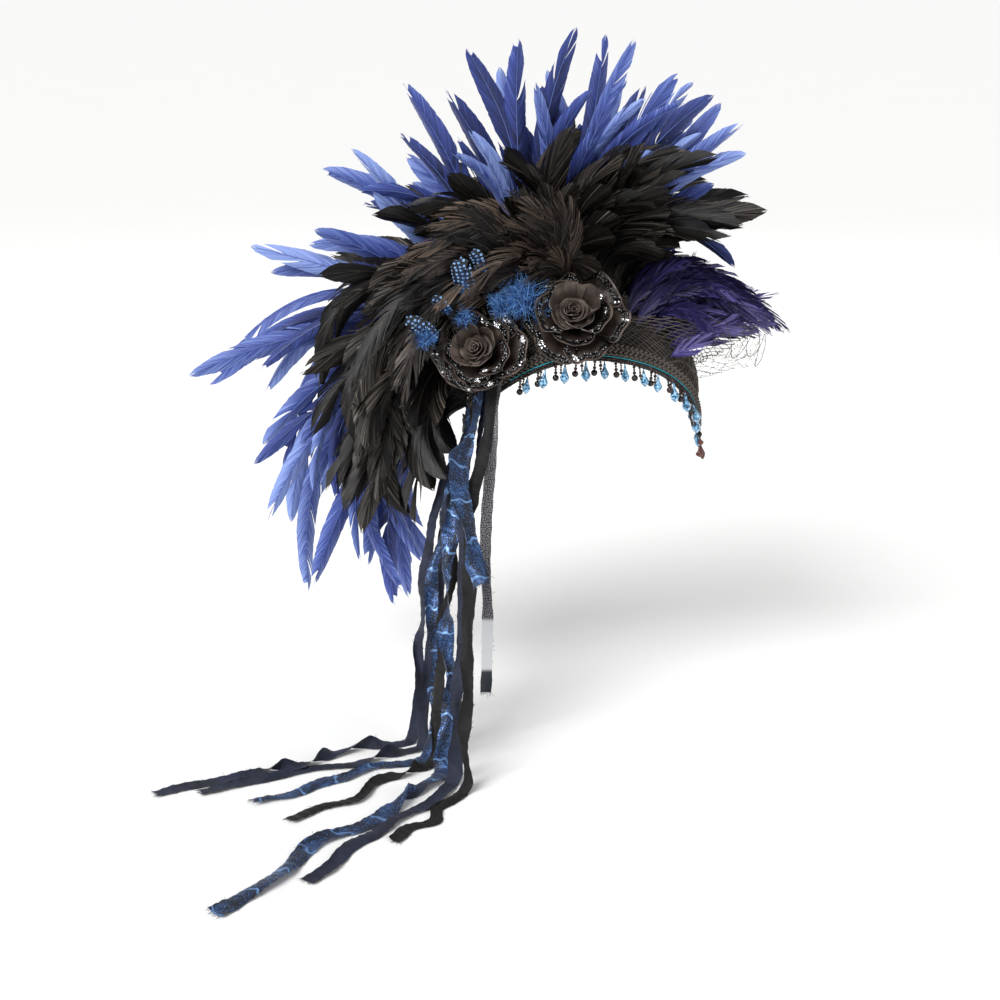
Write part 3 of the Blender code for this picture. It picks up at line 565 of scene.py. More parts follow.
class Finish:
    """A node material in the making: its shader, and short ways to add nodes."""

    def __init__(self, name, **constants):
        self.material = bpy.data.materials.new(name)
        self.material.use_nodes = True
        self.tree = self.material.node_tree
        self.shader = self.tree.nodes["Principled BSDF"]
        for key, value in constants.items():
            self.shader.inputs[key.replace("_", " ")].default_value = value

    def node(self, kind, inputs, **options):
        """A node with its inputs linked, or set where they are plain values."""
        made = self.tree.nodes.new("ShaderNode" + kind)
        for key, value in options.items():
            setattr(made, key, value)
        for key, value in inputs.items():
            if isinstance(value, bpy.types.NodeSocket):
                self.tree.links.new(value, made.inputs[key])
            else:
                made.inputs[key].default_value = value
        return made

    def link(self, socket, name):
        """Feed one of the shader's own inputs."""
        self.tree.links.new(socket, self.shader.inputs[name])

    def math(self, operation, first, second=0.0, third=0.0):
        """One sum of up to three values."""
        inputs = {0: first, 1: second, 2: third}
        return self.node("Math", inputs, operation=operation).outputs[0]

    def tint(self):
        """The four values that each point carries."""
        found = self.node("Attribute", {}, attribute_name="tint")
        split = self.node("SeparateColor", {"Color": found.outputs["Color"]})
        return split.outputs[0], split.outputs[1], split.outputs[2], found.outputs["Alpha"]

    def place(self):
        """The place on the flat piece that each point carries, in metres."""
        return self.node("Attribute", {}, attribute_name="place").outputs["Vector"]

    def scaled(self, vector, scale):
        """A vector with each part scaled."""
        return self.node("VectorMath", {0: vector, 1: scale}, operation="MULTIPLY").outputs[0]

    def noise(self, vector, scale, detail=2.0, roughness=0.5):
        """Cloudy noise from 0 to 1, through the object's own space where no vector is given."""
        if vector is None:
            vector = self.node("TexCoord", {}).outputs["Object"]
        inputs = {"Vector": vector, "Scale": scale, "Detail": detail, "Roughness": roughness}
        return self.node("TexNoise", inputs).outputs["Fac"]

    def total(self, start, *terms):
        """A start value and sockets, each times its weight, added up."""
        for socket, weight in terms:
            start = self.math("MULTIPLY_ADD", socket, weight, start)
        return start

    def grey(self, colour):
        """The brightness of a colour."""
        return self.node("RGBToBW", {"Color": colour}).outputs[0]

    def ramp(self, value, stops):
        """A colour ramp from (place, colour) stops."""
        made = self.node("ValToRGB", {"Fac": value})
        ramp = made.color_ramp
        while len(ramp.elements) < len(stops):
            ramp.elements.new(0.5)
        for element, (place, colour) in zip(ramp.elements, stops):
            element.position = place
            element.color = (*colour, 1.0) if np.ndim(colour) else (colour, colour, colour, 1.0)
        return made.outputs["Color"]

    def mix(self, share, first, second, blend="MIX"):
        """Two colours mixed."""
        made = self.tree.nodes.new("ShaderNodeMix")
        made.data_type = "RGBA"
        made.blend_type = blend
        for place, value in ((0, share), (6, first), (7, second)):
            if isinstance(value, bpy.types.NodeSocket):
                self.tree.links.new(value, made.inputs[place])
            elif place:
                made.inputs[place].default_value = (*value, 1.0)
            else:
                made.inputs[place].default_value = value
        return made.outputs[2]

    def bump(self, height, strength, distance):
        """Bump the surface by a height."""
        inputs = {"Height": height, "Strength": strength, "Distance": distance}
        self.link(self.node("Bump", inputs).outputs["Normal"], "Normal")


def feather_finish(name, dark, mid, pale, shaft, weights, **constants):
    """Barbs that run from dark, in places painted shade, to pale, a painted highlight laid in streaks
    along the barbs, with a plain shaft.

    The weights are those of the tint's four values and of the streaks, and the start value.
    """
    finish = Finish(name, **constants)
    tint = finish.tint()
    # Streaks along the barbs: partly the barbs' own tone, and where weighted toward the pale end a
    # painted highlight.
    streak_and_highlight = finish.noise(finish.scaled(finish.place(), (60.0, 5.0, 640.0)), 1.0, 3.0, 0.65)
    value = finish.total(weights[5], *zip((*tint, streak_and_highlight), weights))
    # The ramp runs from a dark end, painted shade in the blue and purple barbs, to a pale end of painted
    # highlight.
    colour = finish.ramp(value, ((0.0, dark), (0.5, mid), (1.0, pale)))
    on_shaft = finish.math("GREATER_THAN", tint[3], 1.5)
    finish.link(finish.mix(on_shaft, colour, shaft), "Base Color")
    fine = finish.noise(finish.scaled(finish.place(), (60.0, 20.0, 1500.0)), 1.0, 2.0)
    finish.bump(fine, 0.5, 0.0005)
    return finish.material


def spotted_finish(name):
    """Blue-dyed guinea fowl vanes with rows of pale dots."""
    finish = Finish(name, Roughness=0.5)
    along, across = finish.tint()[:2]
    dots = finish.node("TexVoronoi", {"Vector": finish.place(), "Scale": 240.0, "Randomness": 0.30},
                       voronoi_dimensions="2D")
    dot = finish.math("LESS_THAN", dots.outputs["Distance"], 0.27)
    value = finish.total(0.0, (across, 0.6), (along, 0.5))
    ground = finish.ramp(value, ((0.12, (0.02, 0.13, 0.45)), (0.30, (0.005, 0.022, 0.08)),
                                  (0.8, (0.003, 0.005, 0.010))))
    finish.link(finish.mix(dot, ground, (0.26, 0.46, 0.80)), "Base Color")
    fine = finish.noise(finish.scaled(finish.place(), (500.0, 2600.0, 1.0)), 1.0)
    finish.bump(fine, 0.3, 0.0003)
    return finish.material


def cloth_finish(name, colour, pale, scale, **constants):
    """Matt thread or knit: cloudy wear, fine fibres and a slight fuzz."""
    finish = Finish(name, **constants)
    fibre = finish.noise(None, scale, 4.0, 0.7)
    worn = finish.noise(None, scale / 30, 3.0)
    value = finish.total(0.0, (worn, 0.55), (fibre, 0.55))
    finish.link(finish.ramp(value, ((0.30, colour), (0.72, pale))), "Base Color")
    finish.bump(fibre, 0.6, 0.0005)
    return finish.material


def crystal_finish(name, colour):
    """Cut glass, painted in blotches from dark to pale as facet reflections: dark facets and white
    highlights.
    """
    finish = Finish(name, Roughness=0.03, IOR=1.56, Transmission_Weight=0.15)
    cloud = finish.noise(None, 560.0, 0.0)
    painted_dark = scaled_colour(colour, 0.15)
    # The pale end is a painted highlight and the dark end a painted dark reflection in the facets.
    pale = tuple(min(1.0, value * 1.2 + 0.35) for value in colour)
    finish.link(finish.ramp(cloud, ((0.32, painted_dark), (0.48, colour), (0.68, pale))), "Base Color")
    return finish.material


def bead_finish(name, colour):
    """Glazed dark beads, a few of them warm red."""
    finish = Finish(name, Roughness=0.12, Specular_IOR_Level=0.5)
    warm = (0.11, 0.035, 0.028)
    finish.link(finish.ramp(finish.tint()[2], ((0.0, colour), (1.0, warm))), "Base Color")
    return finish.material


def satin_finish(name, colour):
    """Satin petals, clouded and wrinkled, in painted shade toward their roots in the rose's heart and
    with a painted highlight toward their lips.
    """
    finish = Finish(name, Roughness=0.40, Specular_IOR_Level=0.5)
    wrinkle = finish.noise(finish.scaled(finish.place(), (1.0, 0.35, 1.0)), 240.0, 3.0, 0.6)
    cloud = finish.noise(None, 85.0, 3.0)
    # Place down the petal darkens its root as painted shade in the rose's hollows; the pale end at the
    # lips is a painted highlight.
    value = finish.total(0.0, (cloud, 0.80), (finish.tint()[0], 0.48))
    painted_dark, pale = scaled_colour(colour, 0.04), scaled_colour(colour, 2.3)
    finish.link(finish.ramp(value, ((0.42, painted_dark), (0.82, colour), (0.98, pale))), "Base Color")
    finish.bump(wrinkle, 0.5, 0.0012)
    return finish.material


def sequin_finish(name):
    """Black sequins, some of which are made bright silver as painted glints."""
    finish = Finish(name, Coat_Weight=0.7, Coat_Roughness=0.06)
    # Sequins marked with a high tone are painted glints: silver, metallic and smoother.
    painted_glint = finish.math("GREATER_THAN", finish.tint()[2], 0.90)
    finish.link(finish.mix(painted_glint, (0.004, 0.004, 0.0045), (0.90, 0.90, 0.92)), "Base Color")
    finish.link(painted_glint, "Metallic")
    finish.link(finish.math("MULTIPLY_ADD", painted_glint, 0.10, 0.16), "Roughness")
    return finish.material


def foil_finish(name, foil):
    """Black ribbon with broken patches of metallic blue foil and bright crease lines."""
    finish = Finish(name, Sheen_Weight=0.1, Specular_IOR_Level=0.4)
    place = finish.place()
    patch = finish.noise(finish.scaled(place, (90.0, 42.0, 1.0)), 1.0, 3.0, 0.6)
    speckle = finish.noise(place, 900.0, 1.0, 0.6)
    line = finish.node("TexWave", {"Vector": finish.scaled(place, (1.4, 1.0, 1.0)), "Scale": 9.0,
                                   "Distortion": 1.6, "Detail": 1.0, "Detail Scale": 8.0},
                       bands_direction="Y").outputs["Fac"]
    cover = finish.ramp(patch, ((0.36, 0.0), (0.62, 0.62)))
    sparkle = finish.math("ADD", finish.total(-0.28, (finish.grey(cover), 0.32)), speckle)
    flecks = finish.ramp(sparkle, ((0.33, 0.0), (0.40, 1.0)))
    seam = finish.ramp(line, ((0.989, 0.0), (0.998, 1.0)))
    shown = finish.mix(1.0, flecks, seam, "LIGHTEN")
    depth = finish.noise(place, 330.0, 2.0)
    dim = scaled_colour(foil, 0.45)
    bright = tuple(min(1.0, part * 1.7 + 0.03) for part in foil)
    blue = finish.ramp(depth, ((0.30, dim), (0.50, foil), (0.72, bright)))
    ground = finish.ramp(speckle, ((0.3, (0.003, 0.004, 0.008)), (0.8, (0.014, 0.019, 0.036))))
    patched = finish.mix(shown, ground, blue)
    finish.link(finish.mix(finish.grey(seam), patched, (0.17, 0.32, 0.60)), "Base Color")
    mask = finish.grey(shown)
    finish.link(finish.math("MULTIPLY", mask, 0.55), "Metallic")
    finish.link(finish.math("MULTIPLY_ADD", mask, -0.20, 0.58), "Roughness")
    finish.bump(speckle, 0.5, 0.0004)
    return finish.material


def woven_finish(name, dark, pale, roughness):
    """Plain woven ribbon: crossing threads, faded in places."""
    finish = Finish(name, Roughness=roughness, Specular_IOR_Level=0.25, Sheen_Weight=0.04)
    place = finish.place()
    warp = finish.node("TexWave", {"Vector": place, "Scale": 560.0}, bands_direction="X")
    weft = finish.node("TexWave", {"Vector": place, "Scale": 520.0}, bands_direction="Y")
    weave = finish.math("MULTIPLY", warp.outputs["Fac"], weft.outputs["Fac"])
    worn = finish.noise(place, 34.0, 4.0, 0.65)
    value = finish.total(0.0, (worn, 0.85), (weave, 0.30))
    finish.link(finish.ramp(value, ((0.25, dark), (0.8, pale))), "Base Color")
    finish.bump(weave, 0.6, 0.0003)
    return finish.material


def sheer_finish(name):
    """Grey open mesh that turns pale and ends in a dark hem."""
    finish = Finish(name, Roughness=0.5, Specular_IOR_Level=0.4)
    along = finish.tint()[0]
    holes = finish.node("TexVoronoi", {"Vector": finish.place(), "Scale": 700.0, "Randomness": 0.6},
                        voronoi_dimensions="2D")
    thread = finish.math("GREATER_THAN", holes.outputs["Distance"], 0.33)
    grey = finish.mix(thread, (0.30, 0.30, 0.31), (0.035, 0.036, 0.045))
    bare = finish.ramp(along, ((0.765, 0.0), (0.775, 1.0)))
    hem = finish.ramp(along, ((0.925, 0.0), (0.935, 1.0)))
    colour = finish.mix(bare, grey, (0.70, 0.71, 0.73))
    finish.link(finish.mix(hem, colour, (0.012, 0.016, 0.026)), "Base Color")
    fine = finish.noise(finish.place(), 900.0)
    finish.bump(fine, 0.3, 0.0003)
    return finish.material


def floor_finish(name):
    """A plain pale floor with the faintest mottle."""
    finish = Finish(name, Roughness=0.9, Specular_IOR_Level=0.1)
    cloud = finish.noise(None, 3.0, 2.0)
    pale = finish.ramp(cloud, ((0.2, (0.915, 0.915, 0.908)), (0.8, (0.925, 0.925, 0.918))))
    finish.link(pale, "Base Color")
    return finish.material


# The cut of a kind of feather: rows of place along the vane and half width; spacing of the barbs
# in metres; angle between barb and shaft; how far the margins curve under; how often a clump of
# barbs parts from the next; how far a clump draws together, shifts along the shaft and stands off
# the vane; length of loose barb ends; radius of the shaft at its root in metres. The rest are shares.
Kind = namedtuple("Kind", "outline pitch lean cup splits pull part relief hair shaft")

COQUE = Kind(((0, 0.20), (0.12, 0.48), (0.35, 0.84), (0.60, 1.0), (0.80, 0.95), (0.92, 0.70),
              (0.98, 0.36), (1.0, 0.06)), 0.0027, 19, 0.55, 0.035, 0.10, 1.0, 0.06, 0.06, 0.0009)
SCHLAPPEN = Kind(((0, 0.45), (0.12, 0.78), (0.35, 1.0), (0.62, 1.0), (0.80, 0.84), (0.92, 0.54),
                  (1.0, 0.06)), 0.0025, 19, 0.70, 0.06, 0.16, 1.2, 0.10, 0.10, 0.0007)
HACKLE = Kind(((0, 0.75), (0.20, 1.0), (0.55, 0.90), (0.80, 0.66), (0.95, 0.34), (1.0, 0.06)),
              0.0028, 17, 0.50, 0.30, 0.45, 0.7, 0.12, 0.30, 0.0005)
PHEASANT = Kind(((0, 0.70), (0.20, 1.0), (0.60, 0.95), (0.85, 0.70), (1.0, 0.15)),
                0.0022, 19, 0.45, 0.32, 0.45, 1.0, 0.12, 0.35, 0.0005)
GUINEA = Kind(((0, 0.55), (0.20, 0.95), (0.6, 1.0), (0.85, 0.85), (1.0, 0.35)),
              0.0014, 45, 0.20, 0.05, 0.15, 0.5, 0.05, 0.05, 0.0004)
# Places along a barb, and the size of the loose hairs at its end.
STATIONS = np.linspace(0, 1, 5)
HAIR_ROOT = 0.0012
HAIR_HALF_WIDTH = 0.00028


def along_path(values, knots, share):
    """Rows of values read at shares of a path's length."""
    return np.stack([np.interp(share, knots, values[:, i]) for i in range(values.shape[1])], -1)


def add_feather(parts, path, across, half, kind, tone, rng):
    """Add one feather: a shaft along the path, and on each side a vane of barbs that parts here
    and there into clumps and ends in fine loose hairs."""
    knots = distances(path)
    length = knots[-1]
    knots = knots / length
    ahead = unit(np.gradient(path, axis=0))
    across = unit(across - (across * ahead).sum(-1, keepdims=True) * ahead)
    out = np.cross(ahead, across)
    outline = np.array(kind.outline, float).T
    lean = math.tan(math.radians(90 - kind.lean))
    for side in (-1, 1):
        count = max(12, int(length / kind.pitch))
        parting = rng.random(count) < kind.splits
        order = np.repeat(np.arange(count), 1 + parting)
        group = np.cumsum(np.concatenate(([0], order[1:] == order[:-1])))
        root = order / (count - 1) * 0.97
        tip = root + half * np.interp(root, *outline) * lean / length
        members = np.maximum(np.bincount(group), 1)
        middle = (np.bincount(group, tip) / members)[group]
        tip = tip + (middle - tip) * kind.pull
        tip = tip + rng.normal(0, kind.part * kind.pitch / length, len(members))[group]
        tip = np.clip(tip, root + 0.004, 1.0)
        reach = half * np.interp(tip, *outline) * (1 + rng.normal(0, 0.02, len(order)))
        relief = rng.normal(0, kind.relief * half, len(members))[group]
        place = root[:, None] + (tip - root)[:, None] * STATIONS ** 1.25
        offset = side * reach[:, None] * STATIONS ** 0.85
        drop = relief[:, None] * STATIONS ** 1.5 - kind.cup * reach[:, None] * STATIONS ** 2
        points = (along_path(path, knots, place) + along_path(across, knots, place) * offset[..., None]
                  + along_path(out, knots, place) * drop[..., None])
        ids = np.arange(place.size).reshape(place.shape)
        faces = quads(ids)[group[1:] == group[:-1]]
        barb = rng.random(count)[order]
        tint = np.stack(np.broadcast_arrays(place, STATIONS, tone, barb[:, None]), -1)
        spot = np.stack(np.broadcast_arrays(offset, place * length, root[:, None] * length), -1)
        parts.add(points, faces, tint=tint, place=spot)
        picks = np.repeat(np.arange(len(place)), 2)
        away = unit(points[picks, -1] - points[picks, -2] + rng.normal(0, 0.0004, (len(picks), 3)))
        along = along_path(ahead, knots, place[picks, -1])
        shift = rng.uniform(-0.5, 0.5, len(picks)) * kind.pitch
        base = points[picks, -1] - away * HAIR_ROOT + along * shift[:, None]
        edge = along * HAIR_HALF_WIDTH
        hair = HAIR_ROOT + kind.hair * half * rng.uniform(0.3, 1.0, len(picks))
        hairs = np.stack((base - edge, base + edge, base + away * hair[:, None]), 1)
        parts.add(hairs, np.arange(len(picks) * 3).reshape(-1, 3),
                  tint=np.repeat(tint[picks, -1], 3, 0), place=np.repeat(spot[picks, -1], 3, 0))
    radius = kind.shaft * (1 - 0.85 * knots[::2])
    parts.tube(path[::2] + out[::2] * kind.shaft * 0.4, radius, 4, reference=(0.13, 0.2, 0.97),
               tint=(0.5, 0, tone, 2.0))


def curled(path, curl):
    """A path bent toward the back in its fore-and-aft plane, with both ends kept."""
    steps = np.diff(path[:, 0] + 1j * path[:, 2])
    share = np.linspace(0, 1, len(steps))
    bent = np.concatenate(([0], np.cumsum(steps * np.exp(1j * curl * smooth((share - 0.3) / 0.7)))))
    bent = bent * (steps.sum() / bent[-1])
    return np.stack((path[0, 0] + bent.real, path[:, 1], path[0, 2] + bent.imag), -1)


def bezier(start, control, tip, count=29):
    """Points of a quadratic curve."""
    share = np.linspace(0, 1, count)[:, None]
    rest = 1 - share
    return rest * rest * start + 2 * rest * share * control + share * share * tip


def turned_about(vectors, axes, angle):
    """Vectors turned about unit axes by an angle in radians."""
    cosine, sine = np.cos(angle), np.sin(angle)
    return vectors * cosine + np.cross(axes, vectors) * sine


def crest_feather(parts, seat, side, tip_angle, reach, run, splay, curl, twist, half, kind, rng):
    """One feather of the crest, curled toward the back and twisted about its shaft."""
    base = arc_point(seat, side, BACKING_THICK)
    out = unit(arc_point(seat, side, BACKING_WIDTH) - arc_point(seat, side, 0.0))
    turn = math.radians(tip_angle)
    tip = np.array((reach * math.cos(turn), side - splay, reach * math.sin(turn)))
    control = base + out * np.linalg.norm(tip - base) * run
    path = curled(bezier(base, control, tip), curl)
    ahead = unit(np.gradient(path, axis=0))
    twist = np.linspace(twist[0], twist[1], len(path))[:, None]
    flat = turned_about(unit(np.cross(ahead, (0, 1, 0))), ahead, twist)
    add_feather(parts, path, flat, half, kind, rng.random(), rng)


def net_surface(azimuth, share):
    """Points of the pleated frill at shares of its depth."""
    azimuth, share = np.broadcast_arrays(azimuth, share)
    pleat = 0.62 + 0.26 * np.cos(np.pi * (azimuth - NET_SPAN) / NET_PLEAT)
    tilt = np.radians(NET_FALL + (NET_RISE - NET_FALL) * pleat)
    length = (NET_SHORT + (NET_LONG - NET_SHORT) * pleat) * np.cos(np.radians(azimuth * NET_TAPER))
    edge = TAPE_HEIGHT + BRAID_HEIGHT + 3 * PIECE_GAP + NET_THICK
    foot = edge + NET_LIFT * (1 - (azimuth / NET_SPAN) ** 2)
    rise = rim_rise(azimuth, foot)
    root = cap_point(azimuth, rise, SEAT_GAP)
    turn = np.radians(azimuth)
    way = np.stack((np.cos(turn) * np.cos(tilt), -np.sin(turn) * np.cos(tilt), np.sin(tilt)), -1)
    lead = cap_normal(azimuth, rise)
    share = share[..., None]
    return root + length[..., None] * share * (lead * (1 - share) + way * share)


def curve_through(points, shares):
    """Points on a smooth curve through a few points, at shares of its length."""
    points = np.asarray(points, float)
    knots = distances(points)
    secants = np.diff(points, axis=0) / np.diff(knots)[:, None]
    slopes = np.concatenate((secants[:1], secants[1:], secants[-1:]))
    for i in range(1, len(points) - 1):
        weight = (knots[i] - knots[i - 1]) / (knots[i + 1] - knots[i - 1])
        slopes[i] = secants[i - 1] * (1 - weight) + secants[i] * weight
    run = np.clip(shares, 0, 1) * knots[-1]
    i = np.clip(np.searchsorted(knots, run, side="left") - 1, 0, len(points) - 2)
    span = (knots[i + 1] - knots[i])[:, None]
    t = (run - knots[i])[:, None] / span
    rest = 1 - t
    return (points[i] * (1 + 2 * t) * rest * rest + slopes[i] * span * t * rest * rest
            + points[i + 1] * t * t * (3 - 2 * t) - slopes[i + 1] * span * t * t * rest)


def waves(run, rng, *rows):
    """Sine waves with random starts, added up; each row is a size and a rate."""
    return sum(size * np.sin(run * rate + rng.uniform(0, 6)) for size, rate in rows)


def rose_frame(azimuth, rise, axis, stem):
    """The heart of a rose and its three directions."""
    base = cap_point(azimuth, math.radians(rise), PIECE_GAP)
    axis = unit(axis)
    side = unit(np.cross(axis, (0, 0, 1)))
    return base + axis * stem, side, np.cross(side, axis), axis


class HEADDRESS_OT_cap(bpy.types.Operator):
    """Knitted cap shell under stretched lace"""
    bl_idname = "headdress.cap"
    bl_label = "Cap"

    def execute(self, context):
        settings = context.scene.headdress_cap
        parts = Parts()
        columns, rows = 180, 34
        azimuth = np.arange(columns) * 360 / columns
        low = rim_rise(azimuth)
        share = np.linspace(0, 1, rows)[:, None] ** 0.9
        rise = low + (math.pi / 2 - low) * share
        ribs = 0.00022 * np.sin(rise * CAP_DOME * 2 * math.pi / settings.knit_pitch)
        outer = cap_point(azimuth, rise, 0.0002 + ribs)
        inner = cap_point(azimuth, rise, -CAP_WALL)
        parts.grid(outer, wrap=True)
        parts.grid(inner[::-1], wrap=True)
        parts.grid(np.stack((inner[0], outer[0])), wrap=True)
        knit = cloth_finish("knit", settings.knit_colour, scaled_colour(settings.knit_colour, 2.6),
                            1500.0, Roughness=0.85)
        parts.build("cap_shell", [knit], ["cap"], "cap_cloth")
        lace = Parts()
        rng = np.random.default_rng(3)
        cell = settings.lace_cell
        strands = int(math.pi * (CAP_LENGTH + CAP_WIDTH) / 2 / cell)
        climb = np.linspace(0, 1, 40)
        for i in range(strands):
            for lean in (-1, 1):
                start = i * 360 / strands
                turn = start + lean * climb * 84 + rng.uniform(-0.6, 0.6)
                foot = rim_rise(turn, TAPE_HEIGHT + BRAID_HEIGHT)
                level = foot + (math.pi / 2 * 0.93 - foot) * climb ** 0.85
                lift = 0.0011 + 0.0004 * np.sin(climb * 60 + lean * math.pi / 2)
                lace.tube(cap_point(turn, level, lift), 0.00056, 4, reference=(0.1, 0.2, 0.97),
                          tint=(0, 0, rng.random(), 0))
        thread = cloth_finish("lace_thread", settings.braid_colour,
                              scaled_colour(settings.braid_colour, 5.0), 900.0,
                              Roughness=0.7, Sheen_Weight=0.05)
        lace.build("cap_lace", [thread], [], "cap_cloth")
        return {"FINISHED"}


class HEADDRESS_OT_braid(bpy.types.Operator):
    """Plaited braid with a picot edge"""
    bl_idname = "headdress.braid"
    bl_label = "Braid"

    def execute(self, context):
        settings = context.scene.headdress_cap
        parts = Parts()
        low = TAPE_HEIGHT + PIECE_GAP
        dense = np.linspace(0, 360, 721)
        run = cap_point(dense, rim_rise(dense, low), RIM_GAP)
        distance = distances(run)
        count = int(distance[-1] / settings.stitch_pitch)
        band = np.interp(np.linspace(0, distance[-1], count * 2 + 1)[:-1], distance, dense)
        top = BRAID_HEIGHT - BRAID_INSET
        profile = ((BRAID_INSET, 0.0), (BRAID_INSET, BAND_THICK), (top, BAND_THICK), (top, 0.0))
        ring = [cap_point(band, rim_rise(band, low + above), RIM_GAP + lift) for above, lift in profile]
        # The band under the stitches is near black: painted shade between the stitches.
        parts.grid(np.stack(ring + ring[:1]), wrap=True, finish=1)
        shape = ball(6, 5)
        rng = np.random.default_rng(7)
        rows = ((0.15, 34, 0.00), (0.38, -34, 0.00), (0.62, 34, 0.50), (0.85, -34, 0.50))
        for level, slant, phase in rows:
            place = (np.arange(count) + phase) * distance[-1] / count
            turn = np.interp(place, distance, dense)
            above = low + BRAID_HEIGHT * level
            centre = cap_point(turn, rim_rise(turn, above), RIM_GAP + 0.0019)
            ahead = unit(cap_point(turn + 1, rim_rise(turn + 1, above), RIM_GAP) - cap_point(
                turn - 1, rim_rise(turn - 1, above), RIM_GAP))
            normal = cap_normal(turn, rim_rise(turn, above))
            up = np.cross(normal, ahead)
            up = up * np.sign(up[:, 2:3])
            lean = math.radians(slant)
            long = unit(ahead * math.cos(lean) + up * math.sin(lean))
            wide = np.cross(normal, long)
            axes = np.stack((long * 0.0029, wide * 0.00125, normal * 0.0020), 1)
            parts.scatter(shape, centre, axes, rng.random(count))
        place = (np.arange(count) + 0.5) * distance[-1] / count
        turn = np.interp(place, distance, dense)
        centre = cap_point(turn, rim_rise(turn, low + 0.0004), RIM_GAP + 0.0030)
        parts.scatter(shape, centre, np.eye(3) * np.full((count, 1, 1), PICOT_RADIUS))
        thread = cloth_finish("braid_thread", settings.braid_colour,
                              scaled_colour(settings.braid_colour, 6.0), 1100.0,
                              Roughness=0.62, Sheen_Weight=0.05)
        # Near-black finish of the band: painted shade in the gaps between the stitches.
        shade = cloth_finish("braid_shade_core", (0.003, 0.0025, 0.002), (0.012, 0.010, 0.009), 1500.0,
                             Roughness=0.9)
        parts.build("braid_plait", [thread, shade], ["braid_trim"], "braid")
        return {"FINISHED"}


class HEADDRESS_OT_fringe(bpy.types.Operator):
    """Crystal drops and dark bead strands on their tape, with a turquoise thread"""
    bl_idname = "headdress.fringe"
    bl_label = "Beaded fringe"

    def execute(self, context):
        settings = context.scene.headdress_fringe
        crystals, darks, tape = Parts(), Parts(), Parts()
        rng = np.random.default_rng(19)
        turn = np.linspace(FRINGE_START, FRINGE_END, 700)
        face = RIM_GAP + BAND_THICK
        profile = ((0.0, RIM_GAP), (0.0, face), (TAPE_HEIGHT, face), (TAPE_HEIGHT, RIM_GAP))
        ring = [cap_point(turn, rim_rise(turn, above), lift) for above, lift in profile]
        tape.grid(np.stack(ring + ring[:1], 1))
        wave = 0.0003 * np.sin(np.arange(len(turn)) * 1.3)
        front_line = RIM_GAP + THREAD_LIFT
        tape.tube(cap_point(turn, rim_rise(turn, 0.0024 + wave), front_line), 0.00042, 5, finish=1)
        lift = RIM_GAP + TAPE_THICK / 2
        stations = self.stations(lift)
        middle = min(range(len(stations)), key=lambda i: abs(stations[i]))
        drop = revolved(CRYSTAL_CUT, 8, (0.0, -0.97), 0.5)
        bead = ball(8, 6)
        radius = settings.bead_radius
        for i, azimuth in enumerate(stations):
            top = cap_point(azimuth, rim_rise(azimuth, TAPE_HEIGHT / 2), lift)
            out = cap_normal(azimuth, 0.0)
            fall = unit(out * FRINGE_LEAN - np.array((0, 0, 1)) + rng.normal(0, 0.06, 3))
            side = unit(np.cross(fall, rng.normal(0, 1, 3)))
            front = abs(azimuth) < FRONT_SPAN
            crystal = (i - middle) % 2 == 0
            beads = np.array(STRANDS[crystal, front]) * radius
            reach = self.strand(darks, bead, top, fall, 0.0004, beads, 0.9, rng)
            if not crystal and not front:
                continue
            size = rng.uniform(0.9, 1.08) * (0.8 if front else 1.0)
            length = settings.drop_length * size * (0.62 if front and not crystal else 1.0)
            if i == middle:
                length = settings.front_drop_length - reach
            wide = settings.drop_width / 2 * size
            axes = np.stack((side * wide, np.cross(fall, side) * wide, -fall * length))[None]
            if front and (i == middle or not crystal):
                darks.scatter(drop, (top + fall * reach)[None], axes, 1.0)
            else:
                crystals.scatter(drop, (top + fall * (reach - 0.0006))[None], axes)
            beside = top + unit(np.cross(out, (0, 0, 1))) * BEAD_PITCH * 0.4
            beads = rng.permutation((0.5, 0.62, 0.5, 0.7, 0.9)) * radius
            self.strand(darks, bead, beside, fall, 0.0010, beads, 1.0, rng)
        count = int(len(turn) / 2.4)
        seeds = np.linspace(FRINGE_START, FRINGE_END, count)
        for above in (0.0004, -0.0014):
            centres = cap_point(seeds + above * 300, rim_rise(seeds, above), front_line)
            axes = np.eye(3) * rng.uniform(0.0009, 0.0013, (count, 1, 1))
            darks.scatter(ball(6, 5), centres, axes, rng.random(count) ** 4 * 0.6)
        glass = crystal_finish("crystal", settings.crystal_colour)
        dark = bead_finish("dark_bead", (0.0025, 0.002, 0.002))
        backing = cloth_finish("tape", (0.012, 0.010, 0.010), (0.03, 0.026, 0.024), 1500.0,
                               Roughness=0.8)
        thread = cloth_finish("turquoise_thread", (0.01, 0.22, 0.30), (0.04, 0.50, 0.62), 1600.0,
                              Roughness=0.5)
        crystals.build("fringe_crystals", [glass], ["bead_fringe"], "crystal", flat=True)
        darks.build("fringe_beads", [dark], [], "crystal")
        tape.build("fringe_tape", [backing, thread], [], "braid")
        return {"FINISHED"}

    def stations(self, lift):
        """Azimuths in whole degrees at which strands hang, one bead pitch apart along the rim."""
        found, run = [], BEAD_PITCH / 2
        azimuths = np.arange(FRINGE_START, FRINGE_END - 1)
        steps = np.diff(distances(cap_point(azimuths, rim_rise(azimuths), lift)))
        for azimuth, step in zip(azimuths[1:], steps):
            run += step
            if run >= BEAD_PITCH:
                found.append(int(azimuth))
                run -= BEAD_PITCH
        return found

    def strand(self, parts, bead, top, fall, reach, sizes, spacing, rng):
        """Hang beads in a row from a depth below the tape; how far they reach is returned."""
        for size in sizes:
            reach += size
            parts.scatter(bead, (top + fall * reach)[None], np.eye(3)[None] * size, rng.random() ** 5)
            reach += size * spacing
        return reach


